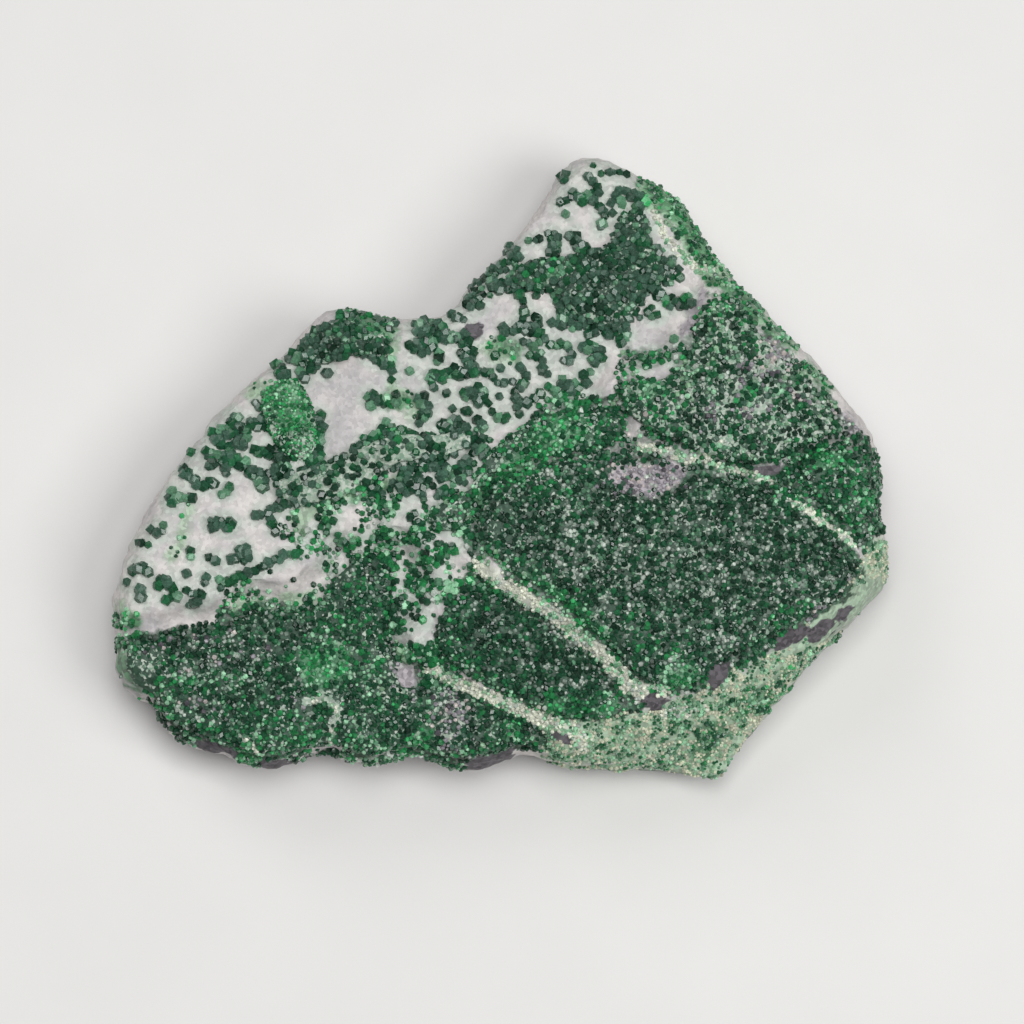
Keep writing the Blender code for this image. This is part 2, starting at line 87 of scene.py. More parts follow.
# Chains and clumps of garnets on bare rock, in photo pixels: half width, then the line they follow
GARNET_CHAINS = [
    (7, [(232, 418), (240, 427), (228, 432), (214, 437)]), (5, [(244, 430), (240, 445)]),
    (5, [(250, 424), (262, 424), (264, 412), (258, 402)]), (5, [(256, 451), (270, 453), (286, 458)]),
    (5, [(209, 452), (211, 464)]), (5, [(213, 462), (226, 457), (236, 462), (246, 464)]),
    (3.5, [(225, 462), (224, 474)]), (4, [(193, 453)]), (5, [(182, 470), (190, 477), (196, 480)]),
    (4, [(198, 485), (215, 483)]), (2.5, [(228, 487), (223, 496)]), (4, [(222, 446), (230, 449)]),
    (5, [(250, 472), (262, 478), (262, 487)]),
    (4, [(268, 474), (280, 474), (288, 465), (284, 480), (280, 494), (284, 504)]),
    (4, [(173, 492), (171, 504), (180, 500), (191, 498)]), (3.5, [(163, 525), (160, 534), (152, 532)]),
    (3, [(148, 545), (139, 543)]), (3, [(190, 550), (192, 557)]), (6, [(212, 524), (222, 523), (231, 527)]),
    (4, [(257, 515), (268, 512), (280, 508), (292, 505)]), (3.5, [(270, 519), (275, 531)]),
    (5, [(244, 549), (247, 558)]), (4, [(209, 558), (216, 559)]), (3.5, [(232, 560), (240, 556)]),
    (3, [(186, 574)]), (3.5, [(205, 583), (207, 576)]), (3, [(219, 579)]),
    (4, [(134, 570), (144, 566), (148, 574)]), (4, [(138, 590), (142, 598)]),
    (5, [(160, 583), (170, 582)]), (4, [(165, 600), (177, 594)]), (3, [(127, 585)]),
    (4, [(220, 586), (240, 577), (252, 572), (268, 564), (284, 557), (300, 552)]),
    (3, [(186, 590), (200, 594)]), (4, [(190, 604), (204, 598)]),
    (6, [(288, 440), (300, 452), (312, 462)]), (5, [(275, 440), (284, 448)]),
    (5, [(318, 414), (320, 430), (316, 445), (319, 462)]), (5, [(278, 366), (284, 376)]),
    (5, [(292, 358), (304, 362), (314, 366)]), (4, [(300, 372), (304, 380)]), (3.5, [(328, 371)]),
    (6, [(368, 330), (380, 345), (372, 352)]), (5, [(366, 352), (380, 360), (390, 364)]),
    (4, [(390, 366), (392, 378)]), (7, [(416, 330), (428, 326), (440, 330)]),
    (6, [(414, 345), (420, 352), (430, 344), (426, 336)]), (5, [(440, 335), (455, 338), (468, 342)]),
    (4, [(440, 352), (437, 362)]), (5, [(472, 350), (462, 354), (472, 362), (470, 372)]),
    (5, [(466, 374), (455, 372), (444, 376), (432, 375)]), (4.5, [(432, 378), (433, 388)]),
    (4, [(496, 358)]), (3.5, [(501, 368)]), (4, [(486, 370), (492, 377)]), (3, [(478, 372)]),
    (4.5, [(412, 371)]), (5, [(370, 396), (374, 405)]), (5, [(384, 402), (396, 398)]),
    (6, [(422, 398), (427, 408), (422, 418)]), (4, [(418, 424)]), (4.5, [(447, 396)]),
    (4, [(452, 408)]), (5, [(466, 396), (477, 390), (484, 396), (478, 402)]),
    (4, [(488, 404), (492, 411)]), (5, [(467, 410)]), (4, [(500, 398)]),
    (4, [(513, 392), (519, 402), (518, 414)]), (4, [(528, 402)]), (3, [(499, 383), (512, 380)]),
    (4, [(520, 366), (525, 377), (521, 388)]), (4, [(538, 357), (544, 362), (543, 371)]),
    (3.5, [(548, 376)]), (4, [(456, 418), (463, 423)]), (3.5, [(477, 420), (485, 427)]),
    (4, [(500, 420), (508, 417)]), (5, [(383, 430), (388, 425)]), (4, [(364, 440), (374, 437)]),
    (4, [(376, 448), (386, 446)]), (5, [(394, 436), (408, 434), (418, 440), (430, 440), (442, 438)]),
    (5, [(440, 428), (452, 426), (464, 430), (474, 436)]), (4, [(452, 438), (462, 442), (472, 440)]),
    (5, [(478, 446), (484, 455), (496, 458), (506, 452), (514, 442)]), (3.5, [(394, 455)]),
    (3.5, [(411, 453)]), (4.5, [(434, 453)]), (7, [(406, 470), (403, 482), (408, 490)]),
    (5, [(414, 480), (420, 490)]), (5, [(424, 462), (432, 468)]), (4, [(441, 462), (452, 455)]),
    (4, [(448, 470), (440, 480)]), (5, [(458, 480), (464, 470), (468, 462)]),
    (4, [(478, 474), (486, 472)]), (5, [(330, 468), (345, 460), (358, 454), (368, 450)]),
    (5, [(330, 484), (348, 478), (360, 482), (356, 490)]), (5, [(302, 482), (316, 478), (326, 482)]),
    (3, [(593, 167)]), (3.5, [(567, 174), (564, 182)]), (4, [(588, 178), (595, 186), (600, 192)]),
    (5, [(574, 196), (584, 200), (592, 196)]), (4, [(558, 205), (566, 201)]), (3, [(566, 213)]),
    (3, [(602, 176), (612, 172), (626, 175)]), (5, [(622, 190)]), (4, [(612, 202), (617, 197), (624, 204)]),
    (4, [(600, 205), (605, 216), (601, 228)]), (4, [(614, 214), (620, 225)]),
    (5, [(633, 196), (642, 203), (636, 212)]),
    (6, [(628, 228), (640, 222), (648, 230), (642, 240), (628, 242)]),
    (5, [(552, 234), (556, 246), (552, 254)]), (3.5, [(530, 241), (541, 240)]),
    (5, [(573, 236), (578, 246), (586, 250)]), (5, [(510, 250), (517, 258)]),
    (4, [(505, 262), (498, 270)]), (5, [(516, 268), (524, 272), (532, 268)]),
    (5, [(492, 282), (502, 288), (514, 280)]), (5, [(474, 297), (480, 306), (469, 302)]),
    (4, [(452, 315), (462, 318)]), (4, [(520, 296), (525, 308), (523, 318)]),
    (5, [(560, 300), (565, 310), (562, 318)]), (5, [(514, 330), (528, 330), (538, 330), (536, 318)]),
    (4, [(505, 330), (502, 338)]), (4, [(522, 342), (534, 345), (545, 341)]),
    (4, [(550, 346), (562, 343), (570, 350), (572, 358), (564, 363)]), (3.5, [(562, 325), (553, 323)]),
    (5, [(588, 331), (602, 330), (612, 332)]), (4, [(622, 325), (628, 334), (622, 343)]),
    (5, [(586, 350), (592, 346), (600, 354), (594, 362)]), (4, [(590, 374), (582, 374), (586, 383)]),
    (3.5, [(532, 356), (540, 355)]), (5, [(562, 382), (570, 390), (576, 386)]),
    (4, [(554, 392), (548, 388)]), (4, [(541, 395), (535, 400)]), (4.5, [(572, 405)]),
    (4, [(588, 402), (593, 398)]), (5, [(580, 414), (592, 413)]), (5, [(556, 402), (562, 396)]),
    (6, [(666, 303), (676, 305), (690, 302)]), (6, [(655, 316)]), (6, [(657, 356)]), (6, [(672, 358)]),
    (3, [(640, 358), (649, 362)]), (3.5, [(645, 368)]), (3, [(676, 341)]), (3, [(681, 348)]),
    (4, [(655, 285), (660, 295)]), (5, [(668, 262), (664, 274)]), (4, [(684, 356), (690, 362)]),
    (5, [(694, 342), (699, 352)]), (6, [(650, 253), (664, 258)]),
    (6, [(445, 505), (455, 512), (470, 508), (480, 512)]), (5, [(436, 520), (448, 526)]),
    (6, [(414, 516), (418, 526), (424, 536)]), (5, [(462, 532), (470, 538)]),
    (6, [(376, 538), (386, 530), (392, 536)]), (5, [(336, 538), (346, 545), (358, 542)]),
    (5, [(330, 505), (342, 498)]), (6, [(376, 505), (388, 510), (396, 505)]),
    (5, [(330, 520), (324, 530)]), (4, [(300, 538), (306, 530)]), (6, [(380, 548), (386, 560), (394, 568)]),
    (7, [(360, 565), (372, 575), (362, 588)]), (6, [(398, 610), (400, 600), (406, 606)]),
    (6, [(392, 622), (402, 627)]), (7, [(420, 620)]), (5, [(424, 600), (436, 596)]),
    (5, [(445, 552), (455, 550)]), (6, [(420, 560), (432, 565), (440, 560)]),
    (6, [(440, 585), (456, 588), (470, 584), (484, 590), (500, 596)]), (5, [(410, 585), (424, 588)]),
    (5, [(380, 640), (378, 652)]), (6, [(420, 648), (432, 652), (430, 664)]), (5, [(400, 655), (412, 660)]),
    (5, [(326, 564)]), (5, [(335, 575), (345, 580)]), (5, [(325, 605), (338, 600)]),
    (5, [(346, 612), (342, 622)]), (5, [(426, 680), (436, 686)]), (5, [(396, 700), (410, 705)]),
    (6, [(370, 715), (385, 720), (400, 716)]), (5, [(420, 695), (432, 700)]),
]

# Bare windows in the garnets, where the pale rock shows: closed outlines in photo pixels
BARE_WINDOWS = [
    [(316, 376), (330, 360), (352, 356), (372, 362), (384, 372), (386, 388), (372, 392), (364, 400),
     (372, 414), (392, 418), (384, 424), (366, 432), (345, 452), (326, 462), (322, 440), (324, 420),
     (314, 400)],
    [(192, 498), (212, 488), (232, 486), (252, 490), (270, 498), (262, 506), (246, 514), (250, 528),
     (240, 538), (228, 548), (214, 552), (196, 560), (184, 566), (178, 556), (186, 534), (198, 518),
     (188, 506)],
    [(190, 570), (204, 566), (218, 566), (230, 568), (220, 576), (212, 586), (198, 586), (186, 584)],
    [(222, 440), (232, 446), (250, 445), (262, 432), (268, 444), (256, 446), (250, 458), (268, 468),
     (276, 462), (278, 470), (262, 470), (246, 468), (236, 470), (232, 478), (244, 484), (222, 482),
     (216, 474), (220, 466), (204, 470), (198, 462), (204, 448), (212, 442)],
    [(562, 166), (575, 160), (592, 158), (606, 164), (612, 170), (600, 172), (584, 172), (578, 188),
     (568, 192), (556, 190)],
    [(540, 214), (556, 214), (572, 206), (590, 208), (598, 222), (610, 230), (620, 236), (614, 246),
     (600, 250), (592, 244), (582, 230), (568, 230), (564, 240), (566, 254), (560, 252), (558, 232),
     (545, 228), (532, 230), (534, 220)],
    [(522, 244), (544, 246), (544, 254), (536, 262), (524, 262), (518, 252)],
    [(484, 300), (500, 298), (518, 300), (520, 314), (514, 322), (508, 328), (498, 334), (488, 330),
     (484, 316)],
    [(530, 300), (545, 294), (556, 298), (560, 312), (556, 320), (546, 334), (560, 334), (580, 330),
     (582, 340), (562, 340), (548, 338), (544, 324), (540, 314), (530, 312)],
    [(632, 330), (648, 322), (664, 318), (680, 310), (694, 298), (700, 284), (706, 292), (698, 316),
     (690, 330), (684, 340), (668, 346), (650, 350), (636, 352), (626, 344)],
    [(664, 292), (680, 284), (690, 276), (702, 278), (690, 292), (676, 298), (660, 302), (648, 306),
     (640, 312), (636, 306), (650, 298)],
    [(600, 345), (612, 342), (613, 360), (612, 380), (614, 396), (600, 394), (602, 370)],
    [(552, 364), (566, 362), (578, 370), (574, 378), (560, 380), (552, 374)],
    [(482, 422), (492, 412), (488, 400), (500, 404), (512, 404), (512, 414), (496, 424), (500, 430),
     (515, 424), (512, 434), (496, 440), (484, 434)],
    [(393, 326), (410, 322), (412, 334), (404, 346), (410, 356), (400, 366), (406, 380), (398, 380),
     (394, 362), (398, 346), (390, 336)],
    [(466, 462), (478, 460), (476, 478), (474, 492), (466, 500), (463, 490), (468, 476)],
    [(400, 498), (412, 495), (430, 490), (436, 484), (440, 490), (434, 502), (424, 508), (412, 520),
     (404, 530), (396, 536), (384, 531), (393, 518), (396, 508)],
    [(340, 520), (350, 516), (352, 530), (344, 540), (350, 552), (342, 566), (334, 560), (338, 544)],
    [(358, 530), (366, 526), (368, 540), (360, 552), (352, 548)],
    [(336, 572), (350, 566), (356, 574), (344, 584), (334, 582)],
    [(348, 505), (356, 500), (344, 520), (330, 540), (322, 542), (332, 520)],
    [(255, 572), (272, 566), (290, 562), (308, 560), (316, 568), (318, 584), (308, 590), (300, 600),
     (284, 600), (268, 592), (252, 582)],
    [(300, 508), (318, 506), (320, 520), (316, 538), (304, 534), (308, 520)],
    [(398, 546), (414, 545), (418, 554), (404, 562), (402, 576), (396, 572), (400, 558)],
    [(436, 530), (456, 530), (466, 544), (458, 560), (446, 566), (454, 552), (444, 544), (434, 540)],
    [(402, 616), (412, 622), (424, 608), (440, 602), (450, 606), (440, 620), (432, 634), (424, 642),
     (404, 642), (390, 636), (402, 632), (412, 632)],
    [(396, 666), (408, 660), (416, 668), (418, 684), (412, 694), (402, 690), (392, 694), (384, 706),
     (378, 700), (388, 684)],
    [(140, 618), (160, 618), (180, 612), (186, 606), (200, 606), (206, 618), (190, 624), (172, 628),
     (150, 632), (136, 630)],
    [(480, 560), (492, 558), (500, 570), (508, 580), (500, 580), (486, 574)],
    [(498, 502), (514, 500), (516, 510), (506, 516), (498, 510)],
    [(714, 404), (728, 398), (736, 380), (748, 366), (744, 378), (736, 398), (724, 412), (714, 412)],
    [(748, 416), (756, 404), (764, 392), (768, 398), (760, 410), (752, 418)],
    [(752, 328), (762, 324), (764, 334), (756, 336)],
    [(450, 446), (460, 441), (468, 448), (464, 457), (452, 455)],
    [(416, 430), (428, 424), (440, 424), (436, 434), (420, 437)],
    [(392, 449), (410, 447), (418, 452), (416, 462), (400, 468), (391, 462)],
    [(359, 473), (378, 465), (386, 469), (370, 477)],
    [(476, 461), (500, 458), (502, 467), (480, 470)],
    [(294, 516), (302, 506), (312, 504), (321, 520), (318, 534), (312, 547), (303, 541), (304, 528)],
    [(322, 546), (330, 534), (338, 517), (344, 516), (338, 533), (330, 548)],
    [(294, 574), (300, 561), (312, 556), (327, 562), (323, 575), (319, 591), (302, 597), (291, 590)],
    [(397, 560), (404, 560), (406, 583), (400, 584)],
    [(452, 546), (466, 544), (468, 562), (456, 568)],
    [(427, 571), (444, 570), (445, 579), (430, 580)],
    [(330, 600), (344, 596), (347, 608), (334, 611)],
    [(252, 578), (270, 576), (286, 580), (284, 595), (262, 596)],
    [(636, 364), (652, 370), (666, 362), (674, 368), (662, 382), (640, 376)],
    [(627, 414), (640, 408), (644, 420), (634, 438), (626, 434)],
    [(318, 690), (334, 686), (338, 700), (324, 702)], [(294, 697), (311, 694), (309, 706), (296, 706)],
    [(104, 652), (126, 650), (150, 662), (160, 690), (150, 706), (124, 700)],
    [(430, 500), (446, 496), (446, 506), (434, 510)], [(488, 520), (504, 524), (498, 540), (486, 534)],
]

# Patches of brighter, emerald garnets: closed outlines in photo pixels
BRIGHT_PATCHES = [
    [(262, 386), (284, 380), (304, 384), (310, 405), (314, 430), (300, 436), (280, 430), (268, 412),
     (256, 396)],
    [(386, 396), (398, 390), (412, 396), (414, 408), (402, 412), (388, 408)],
    [(488, 340), (504, 334), (518, 346), (516, 358), (504, 350), (490, 348)],
    [(364, 484), (384, 482), (388, 492), (376, 500), (362, 496)],
    [(500, 465), (520, 452), (530, 430), (552, 414), (585, 418), (590, 440), (560, 452), (540, 470),
     (516, 478)],
    [(545, 266), (558, 262), (556, 276), (540, 284), (532, 276)],
    [(520, 572), (545, 578), (575, 600), (600, 628), (590, 640), (570, 615), (545, 596)],
    [(592, 624), (612, 636), (600, 642)],
    [(660, 675), (690, 660), (700, 680), (690, 694), (668, 690)],
    [(540, 700), (556, 696), (572, 706), (566, 718), (548, 712)],
    [(596, 706), (622, 698), (636, 700), (628, 716), (600, 720)],
    [(640, 380), (656, 378), (664, 390), (654, 402), (642, 396)],
    [(740, 384), (756, 380), (760, 388), (748, 404), (738, 400)],
    [(640, 200), (660, 196), (668, 210), (650, 222)],
    [(300, 650), (330, 640), (350, 650), (345, 680), (320, 690), (300, 680)],
    [(245, 596), (225, 592), (210, 606), (225, 612), (250, 604)],
    [(420, 725), (436, 730), (430, 742), (416, 738)],
    [(510, 718), (524, 724), (530, 738), (520, 744), (512, 732)],
    [(800, 458), (820, 452), (850, 452), (850, 470), (820, 470)],
]

# Where garnets change to another palette, in photo pixels: half width, then the line they follow
LEAFY_BANDS = [
    (12, [(500, 562), (540, 588), (580, 614), (612, 650)]), (12, [(444, 648), (470, 674), (500, 688)]),
    (10, [(545, 702), (600, 706), (630, 700)]), (14, [(650, 678), (700, 672)]),
    (30, [(815, 470), (850, 490)]), (26, [(634, 370), (652, 410)]), (16, [(723, 296), (754, 320)]),
    (12, [(750, 346), (771, 346)]), (12, [(751, 380), (751, 400)]), (36, [(330, 620), (350, 670)]),
    (32, [(380, 730), (410, 740)]), (24, [(235, 730), (300, 728)]), (12, [(206, 606), (242, 598)]),
    (26, [(124, 662), (150, 690)]), (26, [(520, 440), (600, 430)]), (20, [(410, 572), (440, 560)]),
    (16, [(640, 640), (680, 650)]), (16, [(750, 650), (800, 615)]), (14, [(500, 480), (560, 490)]),
    (16, [(780, 478), (800, 490)]), (10, [(380, 440), (400, 436)]), (8, [(330, 500), (345, 496)]),
    (9, [(410, 510), (424, 530)]), (14, [(360, 322), (388, 338)]), (5, [(666, 304), (686, 304)]),
    (5, [(664, 356), (676, 358)]), (8, [(486, 566), (470, 600), (440, 640)]),
]
MINTY_BANDS = [
    (7, [(486, 556), (536, 592), (566, 612), (592, 636), (616, 666)]),
    (5, [(438, 658), (470, 676), (500, 692), (540, 708)]), (8, [(346, 756), (378, 764), (412, 756)]),
    (7, [(430, 764), (462, 758), (490, 742)]), (9, [(226, 606), (262, 590)]), (7, [(165, 692), (190, 720)]),
    (8, [(242, 756), (262, 762)]), (9, [(290, 540), (320, 520), (350, 492), (388, 488)]),
    (8, [(440, 512), (474, 506)]), (7, [(766, 318), (790, 342)]), (8, [(702, 300), (714, 282), (742, 294)]),
    (9, [(330, 560), (350, 540), (380, 520)]), (8, [(440, 590), (470, 570)]), (7, [(620, 440), (640, 446)]),
    (6, [(640, 448), (700, 464), (770, 478)]), (6, [(796, 494), (850, 540)]), (8, [(660, 690), (700, 700)]),
    (5, [(706, 690), (790, 640), (850, 600)]), (9, [(350, 650), (372, 690)]), (7, [(380, 700), (400, 650)]),
]
# Grey and lilac garnets. The five bands on the lower left are painted sheen: light glancing off the green
# lumps, painted into the garnets' tints. The others are grey garnets by the lavender patches
ASHEN_AND_SHEEN_BANDS = [
    (6, [(214, 664), (245, 652), (278, 650)]), (4, [(150, 648), (200, 640), (240, 634)]),
    (3, [(170, 672), (205, 676)]), (4, [(180, 702), (215, 708)]), (4, [(262, 706), (300, 702)]),
    (8, [(723, 395), (739, 372)]), (9, [(714, 414), (730, 396)]), (10, [(742, 414), (764, 396)]),
    (14, [(756, 368), (786, 358)]), (8, [(630, 436), (640, 412)]),
    (14, [(612, 478), (650, 474), (672, 476)]), (13, [(446, 704), (456, 736)]),
    (10, [(392, 690), (412, 672)]), (6, [(790, 390), (812, 404)]), (7, [(700, 400), (712, 440)]),
]
SOMBRE_BANDS = [
    (22, [(150, 652), (200, 642), (300, 634)]), (14, [(456, 620), (500, 650), (545, 690)]),
    (9, [(284, 470), (320, 482), (352, 472), (388, 452)]),
]

# Bands on the rock in photo pixels: half width, then the line that they follow
CREAM_LEDGES = [
    (7, [(480, 566), (500, 582), (530, 600), (556, 616), (582, 638), (600, 653), (614, 667), (642, 697)]),
    (8, [(628, 686), (660, 692)]),
    (6, [(430, 667), (462, 685), (483, 694), (511, 705)]), (7, [(511, 705), (536, 716), (571, 726)]),
    (8, [(545, 724), (585, 742)]),
    (2.5, [(640, 446), (665, 452), (683, 460), (700, 458), (720, 466), (748, 474), (772, 482)]),
    (3, [(652, 447), (672, 453), (690, 461)]), (3, [(700, 456), (716, 450), (726, 441), (733, 436)]),
    (3, [(792, 500), (806, 510), (822, 522), (838, 532), (855, 545)]), (7, [(668, 714), (702, 706)]),
    (3, [(326, 699), (339, 710), (333, 725), (331, 742)]), (3, [(305, 702), (326, 699)]),
    (2.5, [(239, 737), (262, 754)]), (3, [(655, 212), (665, 238), (690, 262), (716, 272)]),
]
FLANK_BANDS = [
    (38, [(872, 612), (822, 662), (764, 702), (704, 742), (640, 750), (580, 752)]),
    (16, [(880, 556), (866, 590)]), (10, [(672, 710), (706, 700), (732, 676)]),
]
RIM_BANDS = [
    (15, [(650, 190), (680, 215), (700, 245), (716, 272)]),
    (6, [(712, 280), (730, 288), (750, 305), (770, 328), (792, 348)]), (6, [(806, 366), (826, 388)]),
]
MINT_BANDS = [
    (5, [(190, 505), (183, 530), (170, 560)]), (8, [(255, 392), (282, 388)]), (8, [(370, 330), (390, 350)]),
    (9, [(488, 346), (512, 356)]), (7, [(392, 386), (412, 412)]), (9, [(300, 520), (320, 500), (352, 488)]),
    (8, [(240, 606), (280, 604), (310, 596)]), (8, [(352, 756), (378, 762), (402, 756)]),
    (7, [(350, 478), (400, 484)]), (8, [(440, 520), (470, 512)]),
    (8, [(776, 476), (796, 494)]), (6, [(120, 606), (136, 622)]),
]
GREEN_STAINS = [
    (11, [(650, 186), (672, 208), (692, 238), (708, 264)]),
    (8, [(712, 280), (736, 292), (754, 312)]), (5, [(768, 328), (790, 346)]),
    (4, [(810, 368), (826, 386)]), (13, [(118, 662), (138, 684)]), (8, [(114, 622), (136, 622)]),
    (12, [(700, 750), (712, 730)]), (14, [(352, 318), (384, 330)]),
    (12, [(736, 710), (766, 702), (794, 676)]), (16, [(470, 505), (500, 490), (520, 470)]),
    (8, [(355, 498), (380, 488)]), (8, [(500, 342), (515, 352)]), (7, [(386, 400), (410, 400)]),
    (9, [(250, 760)]),
]

# Marks on the rock: closed outlines in photo pixels
CHROMITE_SPOTS = [
    [(755, 464), (784, 463), (781, 475), (762, 476), (753, 472)],
    [(777, 652), (778, 638), (792, 627), (806, 624), (812, 631), (802, 641), (784, 652)],
    [(806, 634), (820, 622), (836, 616), (832, 630), (816, 642), (806, 642)],
    [(832, 618), (842, 606), (854, 606), (848, 620), (838, 624)],
    [(709, 692), (708, 676), (714, 664), (722, 664), (729, 662), (728, 676), (720, 686)],
    [(638, 700), (650, 693), (667, 696), (673, 700), (662, 706), (656, 712), (648, 706)],
    [(548, 735), (558, 731), (573, 740), (570, 744), (556, 741)],
    [(466, 336), (468, 324), (478, 321), (484, 328), (480, 338)],
    [(629, 493), (633, 488), (637, 492), (633, 497)],
    [(192, 738), (216, 742), (240, 752), (236, 758), (200, 750)],
    [(260, 758), (292, 758), (304, 764), (280, 774), (258, 770)],
    [(463, 764), (486, 750), (515, 748), (512, 762), (480, 774)],
]
LAVENDER_PATCHES = [
    [(606, 478), (618, 468), (640, 462), (655, 466), (672, 462), (690, 470), (680, 484), (664, 492),
     (650, 497), (632, 494), (618, 490)],
    [(432, 704), (440, 694), (456, 690), (466, 704), (462, 722), (468, 738), (452, 746), (440, 742),
     (436, 724)],
    [(392, 672), (402, 664), (416, 668), (420, 684), (410, 696), (398, 694)],
    [(694, 300), (702, 284), (708, 292), (700, 318), (690, 334), (684, 344), (680, 330)],
    [(808, 622), (812, 608), (832, 606), (850, 588), (880, 576), (886, 592), (860, 612), (834, 636),
     (810, 650), (806, 640)],
    [(834, 412), (846, 410), (858, 430), (852, 436), (838, 424)],
    [(718, 408), (728, 398), (738, 380), (748, 368), (756, 372), (744, 386), (734, 404), (722, 414)],
    [(752, 412), (762, 396), (774, 392), (770, 406), (758, 418)],
    [(756, 344), (770, 336), (786, 344), (790, 362), (776, 376), (762, 370)],
]
# The lavender patch without green between its grains
UNGREEN_LAVENDER = LAVENDER_PATCHES[:1]

# Where each kind of pale grain grows
GRAIN_BANDS = {
    "ledge": CREAM_LEDGES,
    "flank": FLANK_BANDS,
    "rim": RIM_BANDS,
    "tuft": MINT_BANDS + GREEN_STAINS,
}

# Fields of garnets on the rock round and between the crusts: how they grow, and the outline
FIELDS = [
    ("panel", [(470, 570), (468, 520), (490, 490), (540, 476), (600, 462), (650, 450), (700, 458),
               (790, 470), (850, 540), (866, 572), (852, 596), (785, 640), (705, 690), (655, 700),
               (632, 716), (590, 724), (540, 712), (440, 660), (432, 610)]),
    ("lower_field", [(782, 470), (800, 446), (868, 440), (884, 470), (884, 530), (866, 552), (820, 516)]),
    ("slope", [(612, 400), (620, 350), (660, 350), (690, 330), (705, 290), (745, 304), (790, 352),
               (835, 402), (868, 440), (800, 446), (782, 470), (700, 458), (650, 450), (600, 462),
               (600, 430)]),
    ("mixed", [(226, 606), (226, 588), (272, 570), (300, 552), (276, 530), (300, 505), (350, 492),
               (440, 500), (480, 500), (484, 560), (440, 600), (436, 660), (400, 664), (396, 600),
               (330, 610), (280, 604)]),
    ("lower_field", [(112, 640), (140, 632), (215, 622), (226, 590), (300, 556), (335, 532), (350, 500),
                     (440, 500), (480, 560), (440, 600), (440, 660), (545, 728), (552, 752), (505, 748),
                     (460, 770), (400, 762), (370, 768), (340, 758), (310, 758), (262, 768), (215, 750),
                     (180, 742), (150, 706), (116, 690)]),
    ("clumps", [(500, 262), (560, 260), (600, 250), (650, 240), (676, 262), (690, 280), (660, 300),
                (640, 322), (620, 345), (604, 325), (570, 330), (560, 300), (520, 296), (495, 292),
                (478, 304), (470, 290)]),
    ("clumps", [(272, 440), (322, 462), (380, 430), (470, 425), (515, 440), (482, 470), (440, 500),
                (360, 505), (300, 500), (276, 512)]),
    ("bright_strip", [(500, 470), (520, 440), (540, 405), (560, 390), (612, 400), (640, 430), (700, 450),
                      (610, 470), (540, 476), (500, 500), (470, 520), (440, 540), (400, 545), (440, 500)]),
    ("clumps", [(300, 350), (318, 322), (345, 312), (396, 324), (392, 352), (362, 350), (322, 366)]),
]

# Where larger garnets stand alone in the frame's rock, in millimetres
STANDING_GARNETS = [
    (-28.7, -7.3), (17.9, 15.3), (16.0, 14.4), (16.1, 10.0), (-5.4, 6.0), (-9.0, 8.5), (-10.3, 5.6),
    (-0.7, 9.9), (-8.1, -17.5), (-9.8, -3.2), (-32.2, -4.5), (-35.4, -8.2), (10.4, 28.2), (6.8, 26.1),
    (9.2, 10.4), (-29.8, -0.7), (-34.2, -13.4), (-26.0, 3.0), (1.7, 12.1), (-14.5, -7.4),
    (-25.2, -10.6), (5.9, 6.9),
]
# Rock this near them is smoothed, where it faces up more than this and lies higher than this, and how
# many times over
BUMP_REACH = 1.7 * MM
BUMP_FACING = -0.2
BUMP_HEIGHT = 4 * MM
BUMP_SMOOTHING = 25

# The sizes of the broken rock's coarse, middle and hackly forms, and the height over the flat back from
# which they start and over which they reach their full depth
COARSE_FORM = 2.4 * MM
MIDDLE_FORM = 1.1 * MM
HACKLY_FORM = 3.1 * MM
BACK_MARGIN = 0.3 * MM
BACK_FADE = 1.2 * MM

# How the edges of marks wander: the size of each wave, and its reach in photo pixels
EDGE_WANDER = ((1.6 * MM, 6.0), (0.7 * MM, 3.0))
# How soft the edges of marks on the rock and on the crusts' beds are, in photo pixels
SOFTNESS = {
    "halo": 9,
    "lavender": 8,
    "coat": 14,
    "tuft": 12,
    "stain": 12,
    "ledge": 6,
    "ore": 3,
    "window": 6,
    "bed_ledge": 4,
    "bright": 8,
}

# The dark base of the sides: its height, how far that wanders widely and finely, its edge and strength
BASE_HEIGHT = 6.4 * MM
BASE_WANDER = 1.6 * MM
BASE_RAGGED = 0.8 * MM
BASE_EDGE = 4 * MM
BASE_STRENGTH = 0.82
# How far a chain's halo reaches past it, in photo pixels
HALO_REACH = 6

# A crust's bed: how many times it is smoothed, the depth and size of its grain, how green it is in bright
# patches, and how much less of it is dark by the ledges and on the lavender patches
BED_SMOOTHING = 6
BED_RELIEF = 0.10 * MM
BED_GRAIN = 0.8 * MM
BRIGHT_STRENGTH = 0.7
BARE_BY_LEDGES = 1.5
BARE_BY_LAVENDER = 0.3

Growth = namedtuple("Growth", "spacing smallest largest share ground palette")

